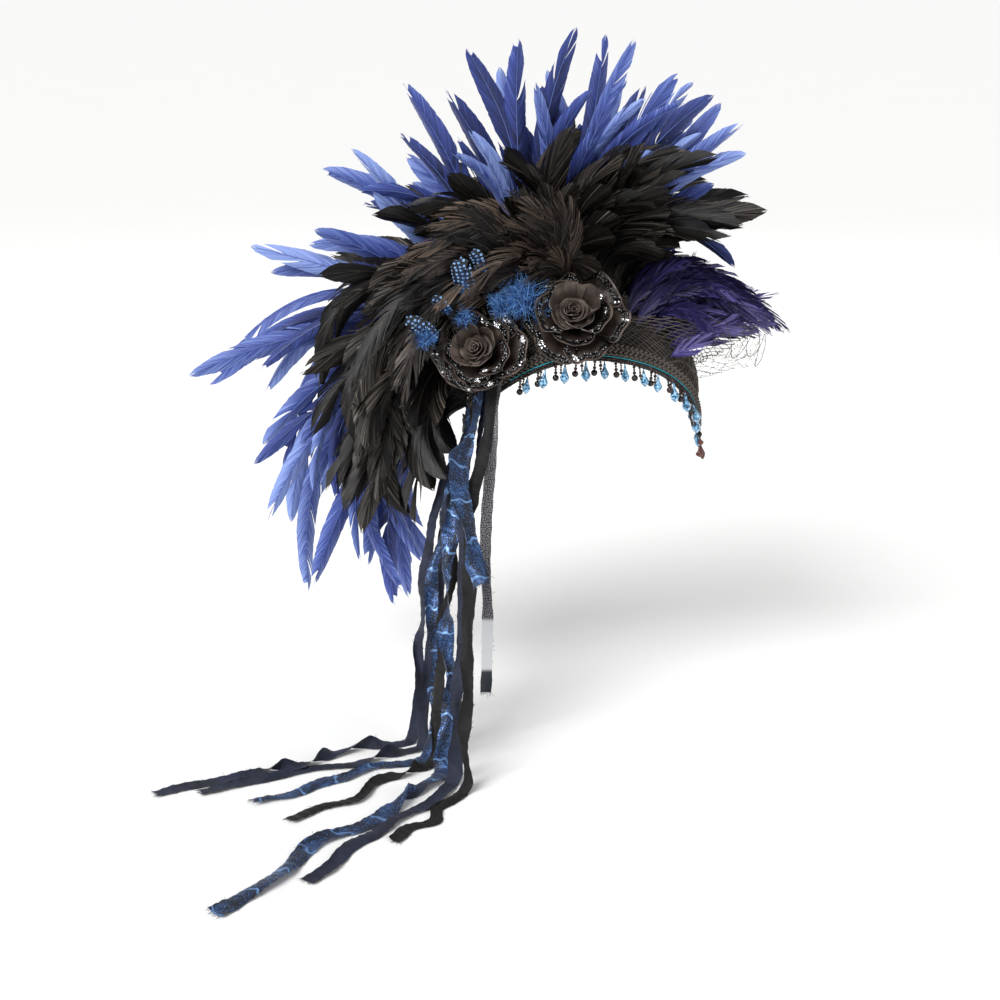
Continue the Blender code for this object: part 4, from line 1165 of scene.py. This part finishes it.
class HEADDRESS_OT_net(bpy.types.Operator):
    """Diamond net frill over the brow"""
    bl_idname = "headdress.net"
    bl_label = "Net frill"

    def execute(self, context):
        settings = context.scene.headdress_net
        parts = Parts()
        rng = np.random.default_rng(29)
        fine = np.linspace(-NET_SPAN, NET_SPAN, 801)
        edge = net_surface(fine, 0.7)
        distance = distances(edge)
        spread = distance[-1]
        strands = int(spread / settings.cell)
        share = np.linspace(0, 1, 30)
        for i in range(-14, strands + 14):
            for lean in (-1, 1):
                place = (i + 0.5) * spread / strands + lean * (share - 0.5) * 0.085
                inside = (place >= 0) & (place <= spread)
                if inside.sum() < 4:
                    continue
                turn = np.interp(place[inside], distance, fine)
                wobble = rng.normal(0, 0.12, inside.sum())
                points = net_surface(turn + wobble, share[inside])
                points = points + cap_normal(turn, 0.0) * 0.0003 * lean
                parts.tube(points, settings.strand, 4, reference=NET_REFERENCE,
                           tint=(0, 0, rng.random(), 0))
        for level, size in ((0.0, 0.0009), (1.0, 0.00030)):
            parts.tube(net_surface(fine[::3], level), size, 5, reference=NET_REFERENCE)
        self.brow(parts, rng)
        turn = rng.uniform(-NET_SPAN, NET_SPAN, NET_KNOTS)
        centres = net_surface(turn, rng.uniform(0.05, 1.0, NET_KNOTS))
        parts.scatter(ball(5, 4), centres, np.eye(3) * rng.uniform(0.0003, 0.0006, (NET_KNOTS, 1, 1)))
        thread = cloth_finish("net_thread", settings.colour, scaled_colour(settings.colour, 1.8),
                              2000.0, Roughness=0.6)
        parts.build("net_frill_mesh", [thread], ["net_frill"], "net")
        return {"FINISHED"}

    def brow(self, parts, rng):
        """Net drawn from both sides of the cap over the lowest hackles to the frill's ridges."""
        for hand in (-1, 1):
            ridge = net_surface(20.0 * hand, np.linspace(0.15, 1.0, 12))
            edge_turn = np.linspace(22, BROW_SPAN, 12) * hand
            climb = 0.030 + 0.018 * np.linspace(0, 1, 12)
            edge = cap_point(edge_turn, rim_rise(edge_turn, climb), 0.003)
            share = np.linspace(0, 1, 24)
            bow = np.sin(share * math.pi)[:, None] * np.array((0.0, -0.010 * hand, 0.006))
            for start in np.arange(-6, 18, 1.1):
                for lean in (-1, 1):
                    place = start + lean * 6 * share
                    inside = (place >= 0) & (place <= 11)
                    if inside.sum() < 4:
                        continue
                    first = along_path(edge, np.arange(12), place)
                    last = along_path(ridge, np.arange(12), place)
                    line = (first * (1 - share[:, None]) + last * share[:, None] + bow)[inside]
                    parts.tube(line + rng.normal(0, 0.00012, line.shape), 0.00032, 4,
                               reference=NET_REFERENCE, tint=(0, 0, rng.random(), 0))


class HEADDRESS_OT_crest(bpy.types.Operator):
    """Blue and black plumes of the crest"""
    bl_idname = "headdress.crest"
    bl_label = "Crest plumes"

    def execute(self, context):
        settings = context.scene.headdress_plumes
        # Blue barbs: painted shade at the dark end; painted highlight and painted light through thin
        # tips at the pale end, so they are paler toward tips and edges.
        blue = feather_finish(
            "blue_barbs", settings.blue_dark, settings.blue_mid, settings.blue_highlight, (0.10, 0.16, 0.45),
            (0.50, 0.22, 0.80, 0.20, 1.60, -1.28), Roughness=0.42, Specular_IOR_Level=0.35,
            Sheen_Weight=0.1)
        # Black barbs: near black, with a pale end (0.19, 0.16, 0.135) that is painted highlight in
        # streaks along the barbs.
        black = feather_finish(
            "black_barbs", (0.0012, 0.0010, 0.0009), (0.0045, 0.0038, 0.0033), (0.19, 0.16, 0.135),
            (0.03, 0.024, 0.02), (0.05, 0.05, 0.40, 0.20, 2.60, -1.36), Roughness=0.30,
            Specular_IOR_Level=0.24)
        pitch = BACKING_WIDTH + PIECE_GAP
        for i, (name, colour, sectors, splay, seed) in enumerate(CREST_ROWS):
            side = (1.5 - i) * pitch
            rng = np.random.default_rng(seed)
            for sector, table in sectors.items():
                parts = Parts()
                group = self.blue_group if colour == "blue" else self.black_group
                for seat, tip_angle, reach, run in table:
                    group(parts, settings, seat, side, tip_angle, reach, run, splay, rng)
                if name == "blue_plumes_right" and sector == "front":
                    crest_feather(parts, 75, side, 41, 0.172, 1.0, 0.010, 0.0, (0.3, 0.6),
                                  settings.blue_width * 0.42, COQUE, rng)
                finish = blue if colour == "blue" else black
                node = name + "_" + sector
                parts.build(node + "_feathers", [finish], [node], colour + "_feather")
        return {"FINISHED"}

    def curl(self, tip_angle, low, high, rng):
        """How far a plume curls back; the foremost ones curl forward instead."""
        amount = rng.uniform(low, high)
        return amount * (1 if tip_angle > 95 else -0.45 if tip_angle < 78 else rng.uniform(-0.5, 0.6))

    def blue_group(self, parts, settings, seat, side, tip_angle, reach, run, splay, rng):
        """One long blue feather and its shorter fillers."""
        half = settings.blue_width / 2
        crest_feather(parts, seat, side, tip_angle, BLUE_REACH * reach, run, splay,
                      self.curl(tip_angle, 0.0, 0.8, rng), rng.uniform(-0.6, 0.6, 2),
                      half * rng.uniform(0.85, 1.1), COQUE, rng)
        for _ in range(settings.blue_extra):
            crest_feather(parts, seat + rng.uniform(-3, 3), side, tip_angle + rng.uniform(-5, 5),
                          BLUE_REACH * reach * rng.uniform(0.74, 0.95), run,
                          splay + rng.uniform(-0.014, 0.014), self.curl(tip_angle, 0.1, 1.5, rng),
                          rng.uniform(-0.9, 0.9, 2), half * rng.uniform(0.6, 1.0), COQUE, rng)

    def black_group(self, parts, settings, seat, side, tip_angle, reach, run, splay, rng):
        """One long black feather and its shorter fillers, curled back at their tips."""
        half = settings.black_width / 2
        crest_feather(parts, seat, side, tip_angle, BLACK_REACH * reach, run, splay,
                      self.curl(tip_angle, 0.3, 1.3, rng), rng.uniform(-0.5, 0.5, 2), half,
                      SCHLAPPEN, rng)
        shortest = 0.78 if tip_angle < 80 else 0.62
        turned_back = 7 if tip_angle < 64 else 0
        for _ in range(settings.black_extra):
            crest_feather(parts, seat + rng.uniform(-4, 4), side,
                          tip_angle + rng.uniform(-7, 7) + turned_back,
                          BLACK_REACH * reach * rng.uniform(shortest, 1.0), run,
                          splay * rng.uniform(0.6, 1.2), self.curl(tip_angle, 0.3, 2.0, rng),
                          rng.uniform(-0.8, 0.8, 2), half * rng.uniform(0.8, 1.1), SCHLAPPEN, rng)


class HEADDRESS_OT_hackles(bpy.types.Operator):
    """Purple hackles over the brow"""
    bl_idname = "headdress.hackles"
    bl_label = "Purple hackles"

    def execute(self, context):
        settings = context.scene.headdress_plumes
        parts = Parts()
        rng = np.random.default_rng(77)
        for share, heading, reach, height in PURPLE_BLADES:
            for i in range(settings.hackles):
                first = i == 0
                place = share * PURPLE_HALF_SPAN + (0 if first else rng.uniform(-0.006, 0.006))
                seat = PURPLE_SEAT + (0 if first else rng.uniform(-8, 16))
                base = arc_point(seat, -place, BACKING_THICK)
                out = unit(arc_point(seat, -place, BACKING_WIDTH) - arc_point(seat, -place, 0.0))
                turn = math.radians(heading if first else heading * rng.uniform(0.5, 1.0))
                far = PURPLE_REACH * reach * (1 if first else rng.uniform(0.62, 0.98))
                brow = HACKLE_TOP - (far * math.cos(turn) - HACKLE_FRONT) * HACKLE_FALL
                rise = min(far * height, brow) if first else brow - rng.uniform(0, 0.014)
                self.hackle(parts, base, out, far, turn, rise, rng.uniform(0.45, 0.65),
                            rng.uniform(0.0, 0.005), rng.uniform(-0.5, 0.5),
                            settings.hackle_width / 2 * rng.uniform(0.8, 1.2),
                            rng.uniform(0.0, 0.8), rng)
        for heading in np.linspace(-38, 38, settings.hackles * 4):
            base = cap_point(heading, math.radians(rng.uniform(24, 50)), BACKING_THICK)
            far = PURPLE_REACH * rng.uniform(0.66, 0.97)
            self.hackle(parts, base, unit(base * (1, 1, 1.2)), far, math.radians(heading * 0.9),
                        rng.uniform(0.052, 0.086), rng.uniform(0.30, 0.50), 0.0, rng.uniform(-0.6, 0.6),
                        settings.hackle_width / 2, rng.uniform(0.5, 1.6), rng)
        # Purple barbs: the lavender pale end is painted highlight in streaks along the barbs.
        purple = feather_finish(
            "purple_barbs", (0.004, 0.003, 0.022), (0.020, 0.013, 0.105), (0.24, 0.21, 0.52),
            (0.10, 0.07, 0.22), (0.15, 0.08, 0.45, 0.30, 2.60, -1.50), Roughness=0.36,
            Specular_IOR_Level=0.35, Sheen_Weight=0.05)
        parts.build("purple_hackles", [purple], ["purple_hackle_pad"], "purple_feather")
        return {"FINISHED"}

    def hackle(self, parts, base, out, far, turn, rise, run, sag, twist, half, tone, rng):
        """One hackle that leaves its seat outward and bows over to its tip."""
        tip = np.array((far * math.cos(turn), -far * math.sin(turn), rise))
        path = bezier(base, base + out * np.linalg.norm(tip - base) * run, tip)
        path[:, 2] -= smooth((np.linspace(0, 1, len(path)) - 0.5) * 2) * sag
        ahead = unit(np.gradient(path, axis=0))
        level = unit(np.cross(ahead, (-math.sin(turn), -math.cos(turn), 0)))
        add_feather(parts, path, turned_about(level, ahead, twist), half, HACKLE, tone, rng)


class HEADDRESS_OT_side(bpy.types.Operator):
    """Bronze plumes, spotted feathers and blue fluff at the side"""
    bl_idname = "headdress.side"
    bl_label = "Side plumes"

    def execute(self, context):
        settings = context.scene.headdress_plumes
        parts = Parts()
        rng = np.random.default_rng(88)
        for seat, tip_angle, share, run, splay in SIDE_BLADES:
            for i in range(8):
                first = i == 0
                crest_feather(parts, seat + (0 if first else rng.uniform(-3, 3)), -SIDE_SEAT,
                              tip_angle + (0 if first else rng.uniform(-4, 34)),
                              SIDE_REACH * share * (1 if first else rng.uniform(0.85, 1.32)), run,
                              splay + (0 if first else rng.uniform(0.016, 0.052)), rng.uniform(0.3, 1.0),
                              rng.uniform(-0.6, 0.6, 2),
                              settings.side_width / 2 * rng.uniform(0.75, 1.1), PHEASANT, rng)
        # Bronze barbs: the pale end is partly the plumes' own bronze and partly painted sheen, in
        # streaks along the barbs.
        bronze = feather_finish(
            "bronze_barbs", (0.003, 0.003, 0.0032), (0.0150, 0.0143, 0.0145), (0.22, 0.155, 0.115),
            (0.12, 0.10, 0.085), (0.12, 0.05, 0.60, 0.30, 2.20, -1.26), Roughness=0.40,
            Specular_IOR_Level=0.35)
        parts.build("side_plumes", [bronze], ["side_plume_pad"], "bronze_feather")
        self.spotted(rng)
        self.fluff(rng)
        return {"FINISHED"}

    def spotted(self, rng):
        """Small dotted feathers that fan out between the roses and the plumes."""
        parts = Parts()
        for x, z, far_x, far_z, half in SPOTTED:
            base = np.array((x, -0.060, z))
            tip = np.array((far_x, -0.082, far_z))
            path = bezier(base, (base + tip) / 2 + (0.002, -0.006, 0.006), tip, 17)
            flat = unit(np.cross(np.gradient(path, axis=0), (0.1, 1.0, 0.1)))
            add_feather(parts, path, flat, half, GUINEA, rng.random(), rng)
        parts.build("spotted_feathers", [spotted_finish("spotted_barbs")], [], "bronze_feather")

    def fluff(self, rng):
        """Blue down in tufts between the roses and the plumes."""
        parts = Parts()
        share = np.linspace(0, 1, 7)
        for x, y, z, radius, count in TUFTS:
            way = unit(rng.normal(0, 1, (count, 3)) + (-0.35, -0.45, 0.45))
            length = radius * rng.uniform(0.5, 1.15, count)
            start = np.array((x, y, z)) + rng.normal(0, radius * 0.28, (count, 3))
            wave = unit(rng.normal(0, 1, (count, 3)))
            bend = np.sin(share[None] * rng.uniform(3, 8, (count, 1))) * length[:, None] * 0.16
            path = start[:, None] + (way * length[:, None])[:, None] * share[:, None] + (
                wave[:, None] * bend[..., None])
            wide = unit(np.cross(way, rng.normal(0, 1, (count, 3))))
            edge = wide[:, None] * (0.00026 * (1 - 0.85 * share))[:, None]
            points = np.stack((path - edge, path + edge), 2)
            ids = np.arange(points[..., 0].size).reshape(points.shape[:3])
            tint = np.zeros((count, 7, 2, 4))
            tint[..., 0] = share[:, None]
            tint[..., 3] = rng.random(count)[:, None, None]
            parts.add(points, quads(ids), tint=tint)
        # Blue down: painted shade darkens each fibre toward its root, with a random tone per fibre.
        down = feather_finish(
            "blue_down", (0.003, 0.014, 0.05), (0.018, 0.12, 0.44), (0.24, 0.52, 0.92), (0.05, 0.2, 0.6),
            (0.45, 0.0, 0.0, 0.85, 0.10, -0.22), Roughness=0.6, Sheen_Weight=0.1)
        parts.build("blue_fluff", [down], [], "blue_feather")


class HEADDRESS_OT_roses(bpy.types.Operator):
    """Satin roses with sequin-trimmed petals"""
    bl_idname = "headdress.roses"
    bl_label = "Roses"

    def execute(self, context):
        settings = context.scene.headdress_roses
        satin = satin_finish("satin", settings.petal_colour)
        sequin = sequin_finish("sequin")
        for name, azimuth, rise, axis, radius, stem, seed in ROSES:
            rng = np.random.default_rng(seed)
            heart = rose_frame(azimuth, rise, axis, stem)
            lift = PETAL_WALL + 2 * PETAL_GAP
            for label, reach, height, petals, turn, trimmed in WHORLS:
                parts = Parts()
                for i in range(petals):
                    self.petal(parts, heart, radius * reach, radius * height, lift, i, petals, turn,
                               trimmed, settings.sequin_radius, rng)
                lift += PETAL_WALL + PETAL_GAP
                node = name + "_petals_" + label
                parts.build(node + "_satin", [satin, sequin], [node], "rose_satin")
            parts = Parts()
            self.bud(parts, heart, radius, lift + BUD_LIFT * radius, rng)
            parts.build(name + "_bud_satin", [satin], [name + "_bud"], "rose_satin")
        return {"FINISHED"}

    def petal(self, parts, heart, radius, height, lift, index, petals, turn, trimmed, sequin, rng):
        """One petal with a rolled, ruffled lip, and a band of sequins just inside it."""
        middle = (2 * math.pi * index - turn) / petals + rng.uniform(-0.12, 0.12)
        half = math.pi / petals * rng.uniform(1.25, 1.5)
        rows, columns = 17, 33
        share = np.linspace(0, 1, rows)[:, None]
        across = np.linspace(-1, 1, columns)[None]
        phase = rng.uniform(0, 6.28)
        radius = radius * rng.uniform(0.88, 1.12)
        outline = 1 - 0.22 * np.abs(across) ** 3 + 0.035 * np.sin(across * 7 + phase)
        angle = middle + half * across * (0.55 + 0.45 * share ** 0.6)
        hole = ROSE_STEM_RADIUS + PETAL_GAP
        reach = hole + (radius - hole) * share * outline
        roll = smooth((share - 0.80) / 0.20)
        rise = height * rng.uniform(0.65, 1.45) * share ** CUP_CURVE
        ruffle = radius * 0.085 * np.sin(across * 4.2 + phase) * share ** 2.5
        rise = rise + ruffle + radius * 0.032 * np.sin(across * 10 + phase * 2) * share ** 4
        rise = rise + across * 0.0022 * share - roll * radius * 0.05
        reach = reach + roll * radius * 0.03
        grid = self.sheet(parts, heart, reach, angle, rise + lift, half * radius, radius, rng)
        if rng.random() > trimmed:
            return
        down, over = np.gradient(grid, axis=0), np.gradient(grid, axis=1)
        normal = unit(np.cross(over, down))
        normal = normal * np.sign((normal * heart[3]).sum(-1, keepdims=True))
        shape = revolved(SEQUIN_DISH, 10)
        # Two spots on each trimmed petal where sequins are painted as silver glints.
        painted_glint_spots = rng.uniform(0, 1, 2)
        for row in (rows - 2, rows - 3):
            line = grid[row]
            knots = distances(line)
            count = int(knots[-1] / (sequin * 1.6))
            spots = np.linspace(0.02, 0.98, count)
            centres = along_path(line, knots, spots * knots[-1])
            facing = along_path(normal[row], knots, spots * knots[-1])
            facing = unit(facing + rng.normal(0, 0.20, (count, 3)))
            first = unit(np.cross(facing, rng.normal(0, 1, (count, 3))))
            second = np.cross(facing, first)
            size = sequin * rng.uniform(0.9, 1.15, (count, 1))
            axes = np.stack((first * size, second * size, facing * size), 1)
            near = np.abs(spots[:, None] - painted_glint_spots).min(1)
            painted_glint = (near < 0.05) & (rng.random(count) < 0.8)
            tones = np.where(painted_glint, 1.0, rng.random(count) * 0.8)
            parts.scatter(shape, centres + facing * 0.0010, axes, tones, finish=1)

    def sheet(self, parts, heart, reach, angle, rise, half_width, length, rng):
        """A thin petal from the reach, angle and rise of each of its points; they are returned."""
        centre, side, up, axis = heart
        grid = (centre + side * (reach * np.cos(angle))[..., None]
                + up * (reach * np.sin(angle))[..., None] + axis * rise[..., None])
        rows, columns = rise.shape
        parts.slab(grid, SATIN_THICK, tint=grid_tint(rows, columns, rng.random()),
                   place=grid_place(rows, columns, half_width, length))
        return grid

    def bud(self, parts, heart, radius, foot, rng):
        """The furled heart of the rose: a tight core and petals wrapped round it."""
        share = np.linspace(0, 1, 12)[:, None]
        across = np.linspace(-1, 1, 25)[None]
        for size, height, petals, wrap, flare in BUD_PETALS:
            for i in range(petals):
                phase = rng.uniform(0, 6.28)
                angle = 2 * math.pi * (i + rng.uniform(-0.16, 0.16)) / petals + size * 9 + wrap * across
                spiral = 1 + 0.20 * across
                lean = rng.uniform(0.8, 1.15)
                reach = radius * size * spiral * (0.60 + 0.40 * share ** 0.6)
                opening = radius * flare * smooth((share - 0.55) / 0.45)
                reach = reach + opening * (1.4 - 0.8 * across ** 2)
                rise = foot + radius * height * lean * share * (1 - 0.22 * across ** 2 + 0.07 * np.sin(
                    across * 5 + phase))
                rise = rise - radius * flare * 0.5 * smooth((share - 0.8) / 0.2)
                self.sheet(parts, heart, reach, angle, rise, radius * size * wrap, radius, rng)


class HEADDRESS_OT_ribbons(bpy.types.Operator):
    """Creased ribbons that hang and trail on the floor"""
    bl_idname = "headdress.ribbons"
    bl_label = "Ribbons"

    def execute(self, context):
        settings = context.scene.headdress_ribbons
        finishes = {
            "foil": foil_finish("foil_ribbon", settings.foil_colour),
            "slate": woven_finish("slate_ribbon", (0.002, 0.0024, 0.004), (0.036, 0.044, 0.086), 0.5),
            "black": woven_finish("black_ribbon", (0.0018, 0.0018, 0.002), (0.016, 0.0145, 0.0145),
                                  0.45),
            "mesh": sheer_finish("sheer_ribbon"),
        }
        fray = cloth_finish("fray_thread", (0.006, 0.007, 0.012), (0.05, 0.06, 0.11), 1500.0,
                            Roughness=0.7)
        for i, (name, cloth, *route) in enumerate(RIBBONS):
            width, free_end = route[2], route[5]
            rng = np.random.default_rng(100 + i)
            grid, length = self.ribbon_grid(settings, route, rng)
            rows, columns = grid.shape[:2]
            slot = "ribbon_foil" if cloth == "foil" else "ribbon_black"
            parts = Parts()
            parts.grid(grid, tint=grid_tint(rows, columns, rng.random()),
                       place=grid_place(rows, columns, width / 2, length, i * 0.37))
            piece = parts.build(name + "_cloth", [finishes[cloth]], [name], slot)
            edge = self.frayed(grid, rng).build(name + "_fray", [fray], [], slot)
        return {"FINISHED"}

    def ribbon_grid(self, settings, route, rng):
        """The ribbon's surface, creased across, rippled and turned over on the floor, and its length."""
        azimuth, ply, width, landing, tip, free_end, half_turns, crumple = route
        lift = RIM_GAP + BRAID_THICK + RIBBON_GAP + RIBBON_THICK / 2 + ply * RIBBON_PLY
        top = cap_point(azimuth, rim_rise(azimuth, RIBBON_TOP), lift)
        low = cap_point(azimuth, rim_rise(azimuth, -RIBBON_TOP / 2), lift + ply * RIBBON_PLY / 2)
        away = cap_normal(azimuth, 0.0)
        nape = -CAP_LENGTH / 2
        ground = FLOOR + RIBBON_THICK / 2
        foot = np.array((nape + landing[0] * RIBBON_SPREAD, landing[1] * RIBBON_SPREAD,
                         ground + free_end))
        points = [top, low]
        for place, bow in RIBBON_BOWS:
            points.append(low + (foot - low) * place + away * (bow * RIBBON_BOW * (1 + ply)))
        points.append(foot)
        if not free_end:
            far = np.array((nape + tip[0] * RIBBON_SPREAD, tip[1] * RIBBON_SPREAD, ground))
            points[-2] = low + (foot - low) * RIBBON_KNEE_SHARE
            points[-2][2] = ground + RIBBON_KNEE
            points += [foot + (far - foot) * step for step in FLOOR_STEPS]
        length = distances(points)[-1]
        count = int(length / RIBBON_STEP)
        share = np.linspace(0, 1, count)
        path = curve_through(points, share)
        path[:, 2] = np.maximum(path[:, 2], ground)
        ahead = curve_through(points, share + CURVE_STEP) - curve_through(points, share - CURVE_STEP)
        settled = smooth(share / RIBBON_SETTLE)[:, None]
        heading = unit(away * (1 - settled) + unit(ahead * (1, 1, 0)) * settled)
        flat = unit(np.cross(heading, (0, 0, 1)))
        wide = RIBBON_GATHER + (width - RIBBON_GATHER) * np.minimum(1, share * length / RIBBON_FLARE)
        normal = unit(np.cross(flat, ahead))
        on_floor = smooth((ground + FLOOR_NEAR - path[:, 2]) / FLOOR_NEAR)
        begin = np.argmax(on_floor > 0.5) / count if not free_end else 1.0
        run = share * length
        hanging = smooth(run / 0.05) * (1 - on_floor)
        turn = crumple * waves(run, rng, (0.75, 34), (0.5, 71)) * (hanging * 0.9 + on_floor * 0.22)
        for k in range(half_turns):
            middle = begin + (1 - begin) * (0.22 + 0.5 * k / half_turns)
            turn += math.pi * smooth((share - middle) / 0.08 + 0.5)
        flat = flat * np.cos(turn)[:, None] + normal * np.sin(turn)[:, None]
        normal = unit(np.cross(flat, ahead))
        sway = waves(run, rng, (1, 47))[:, None] * normal + waves(run, rng, (1, 39))[:, None] * flat
        path = path + RIBBON_SWAY * crumple * sway * hanging[:, None]
        trail = np.clip((share - begin) / max(1 - begin, 0.01), 0, 1)
        swerve = np.sin(trail * math.pi) * waves(trail, rng, (0.6, 9), (0.4, 17))
        path = path + unit(np.cross(ahead, (0, 0, 1))) * (swerve * RIBBON_SWERVE * crumple)[:, None]
        across = np.linspace(-1, 1, RIBBON_COLUMNS)[None]
        fold = crumple * waves(run, rng, (0.8, 41), (0.6, 97)) * (hanging + on_floor * 0.6)
        fold = np.where(np.abs(fold) < 0.05, 0.05, fold)[:, None]
        beside = np.sin(fold * across) / fold
        above = (1 - np.cos(fold * across)) / fold
        above = above - above.mean(axis=1, keepdims=True)
        bend = 3 * np.sin(run * 45)[:, None]
        fine = np.sin(run[:, None] * 2 * math.pi / RIPPLE_PITCH + across * 1.5 + bend)
        seat = (run + 0.006 * np.sin(run * 61)) % settings.crease_pitch
        gather = np.exp(-(seat / 0.0016 - 2) ** 2)[:, None]
        crease = (fine + gather) * RIPPLE_HEIGHT * crumple
        edge = 1 + waves(run, rng, (0.04, 330))[:, None] * np.abs(across) ** 4
        half = wide[:, None] / 2
        grid = (path[:, None] + flat[:, None] * (half * beside * edge)[..., None]
                + normal[:, None] * (half * above + crease)[..., None])
        raised = np.pad(np.maximum(ground - grid[..., 2].min(axis=1), 0), 4, mode="edge")
        grid[..., 2] += np.convolve(raised, np.ones(9) / 9, mode="valid")[:, None]
        grid[..., 2] = np.maximum(grid[..., 2], ground)
        return grid, length

    def frayed(self, grid, rng):
        """Loose threads along both edges and across the cut end."""
        parts = Parts()
        rows, columns = grid.shape[:2]
        for column, inward in ((0, 1), (columns - 1, columns - 2)):
            picks = rng.choice(np.arange(12, rows - 2), size=rows // 5, replace=False)
            for row in picks:
                start = grid[row, column]
                out = unit(start - grid[row, inward])
                ahead = unit(grid[row + 1, column] - grid[row, column])
                way = unit(out + ahead * rng.normal(0, 0.9) + rng.normal(0, 0.25, 3))
                self.thread(parts, start - out * 0.0005, way, rng.uniform(0.0012, 0.0034), rng)
        out = unit(grid[-1, columns // 2] - grid[-4, columns // 2])
        for spot in np.linspace(0, columns - 1, 22):
            low = int(min(spot, columns - 2))
            start = grid[-1, low] + (grid[-1, low + 1] - grid[-1, low]) * (spot - low)
            self.thread(parts, start - out * 0.0005, unit(out + rng.normal(0, 0.22, 3)),
                        rng.uniform(0.001, 0.0045), rng)
        return parts

    def thread(self, parts, start, way, length, rng):
        """One loose thread that never dips under the floor."""
        share = np.linspace(0, 1, 4)[:, None]
        path = start + way * length * share + rng.normal(0, 1, 3) * length * 0.2 * share ** 2
        path[:, 2] = np.maximum(path[:, 2], FLOOR + 0.0002)
        parts.tube(path, 0.00014, 3, reference=(0.31, 0.2, 0.92))


class HEADDRESS_OT_stage(bpy.types.Operator):
    """Pale floor, soft light and the camera"""
    bl_idname = "headdress.stage"
    bl_label = "Stage"

    def execute(self, context):
        settings = context.scene.headdress_stage
        scene = context.scene
        turns = np.linspace(0, 2 * math.pi, 65)[:-1]
        floor = bpy.data.meshes.new("floor")
        radius = settings.floor_radius
        ring = [(radius * math.cos(turn), radius * math.sin(turn), 0.0) for turn in turns]
        floor.from_pydata(ring, [], [list(range(len(ring)))])
        floor.materials.append(floor_finish("floor"))
        ground = bpy.data.objects.new("floor", floor)
        ground.location = (0, 0, FLOOR - 0.0003)
        scene.collection.objects.link(ground)
        for name, kind, place, power, size in (
                ("key", "SUN", (-0.9, -1.0, 1.2), settings.key_strength, math.radians(40)),
                ("fill", "AREA", (1.5, -1.6, 0.6), settings.fill_power, 1.2),
                ("back", "AREA", (0.2, 1.7, 1.6), settings.fill_power, 1.4)):
            lamp = bpy.data.lights.new(name, kind)
            lamp.energy = power
            if kind == "SUN":
                lamp.angle = size
            else:
                lamp.size = size
            light = bpy.data.objects.new(name, lamp)
            light.location = place
            light.rotation_euler = light.location.to_track_quat("Z", "Y").to_euler()
            scene.collection.objects.link(light)
        world = bpy.data.worlds.new("studio")
        world.use_nodes = True
        sky = world.node_tree.nodes["Background"]
        sky.inputs["Color"].default_value = (1.0, 1.0, 1.0, 1.0)
        sky.inputs["Strength"].default_value = 0.38
        scene.world = world
        scene.view_settings.view_transform = "Standard"
        lens = bpy.data.cameras.new("camera")
        lens.lens = 60
        lens.sensor_width = 36
        camera = bpy.data.objects.new("camera", lens)
        camera.location = (-0.0747, -1.4622, 0.3490)
        camera.rotation_euler = (math.radians(72.8), 0, 0)
        scene.collection.objects.link(camera)
        scene.camera = camera
        return {"FINISHED"}


OPERATORS = (
    HEADDRESS_OT_stage,
    HEADDRESS_OT_cap,
    HEADDRESS_OT_braid,
    HEADDRESS_OT_fringe,
    HEADDRESS_OT_net,
    HEADDRESS_OT_crest,
    HEADDRESS_OT_hackles,
    HEADDRESS_OT_side,
    HEADDRESS_OT_roses,
    HEADDRESS_OT_ribbons,
)


class HEADDRESS_PT_panel(bpy.types.Panel):
    """Lists the headdress's pieces and their settings"""
    bl_label = "Headdress"
    bl_idname = "HEADDRESS_PT_panel"
    bl_space_type = "VIEW_3D"
    bl_region_type = "UI"
    bl_category = "Headdress"

    def draw(self, context):
        for operator in OPERATORS:
            self.layout.operator(operator.bl_idname)
        for name, group in SETTINGS.items():
            box = self.layout.box()
            for key in group.__annotations__:
                box.prop(getattr(context.scene, name), key)


def register():
    for group in SETTINGS.values():
        bpy.utils.register_class(group)
    for name, group in SETTINGS.items():
        setattr(bpy.types.Scene, name, PointerProperty(type=group))
    for operator in OPERATORS:
        bpy.utils.register_class(operator)
    bpy.utils.register_class(HEADDRESS_PT_panel)


def unregister():
    bpy.utils.unregister_class(HEADDRESS_PT_panel)
    for operator in reversed(OPERATORS):
        bpy.utils.unregister_class(operator)
    for name in SETTINGS:
        delattr(bpy.types.Scene, name)
    for group in reversed(list(SETTINGS.values())):
        bpy.utils.unregister_class(group)


def main():
    register()
    for operator in OPERATORS:
        group, call = operator.bl_idname.split(".")
        getattr(getattr(bpy.ops, group), call)()


if __name__ == "__main__":
    main()
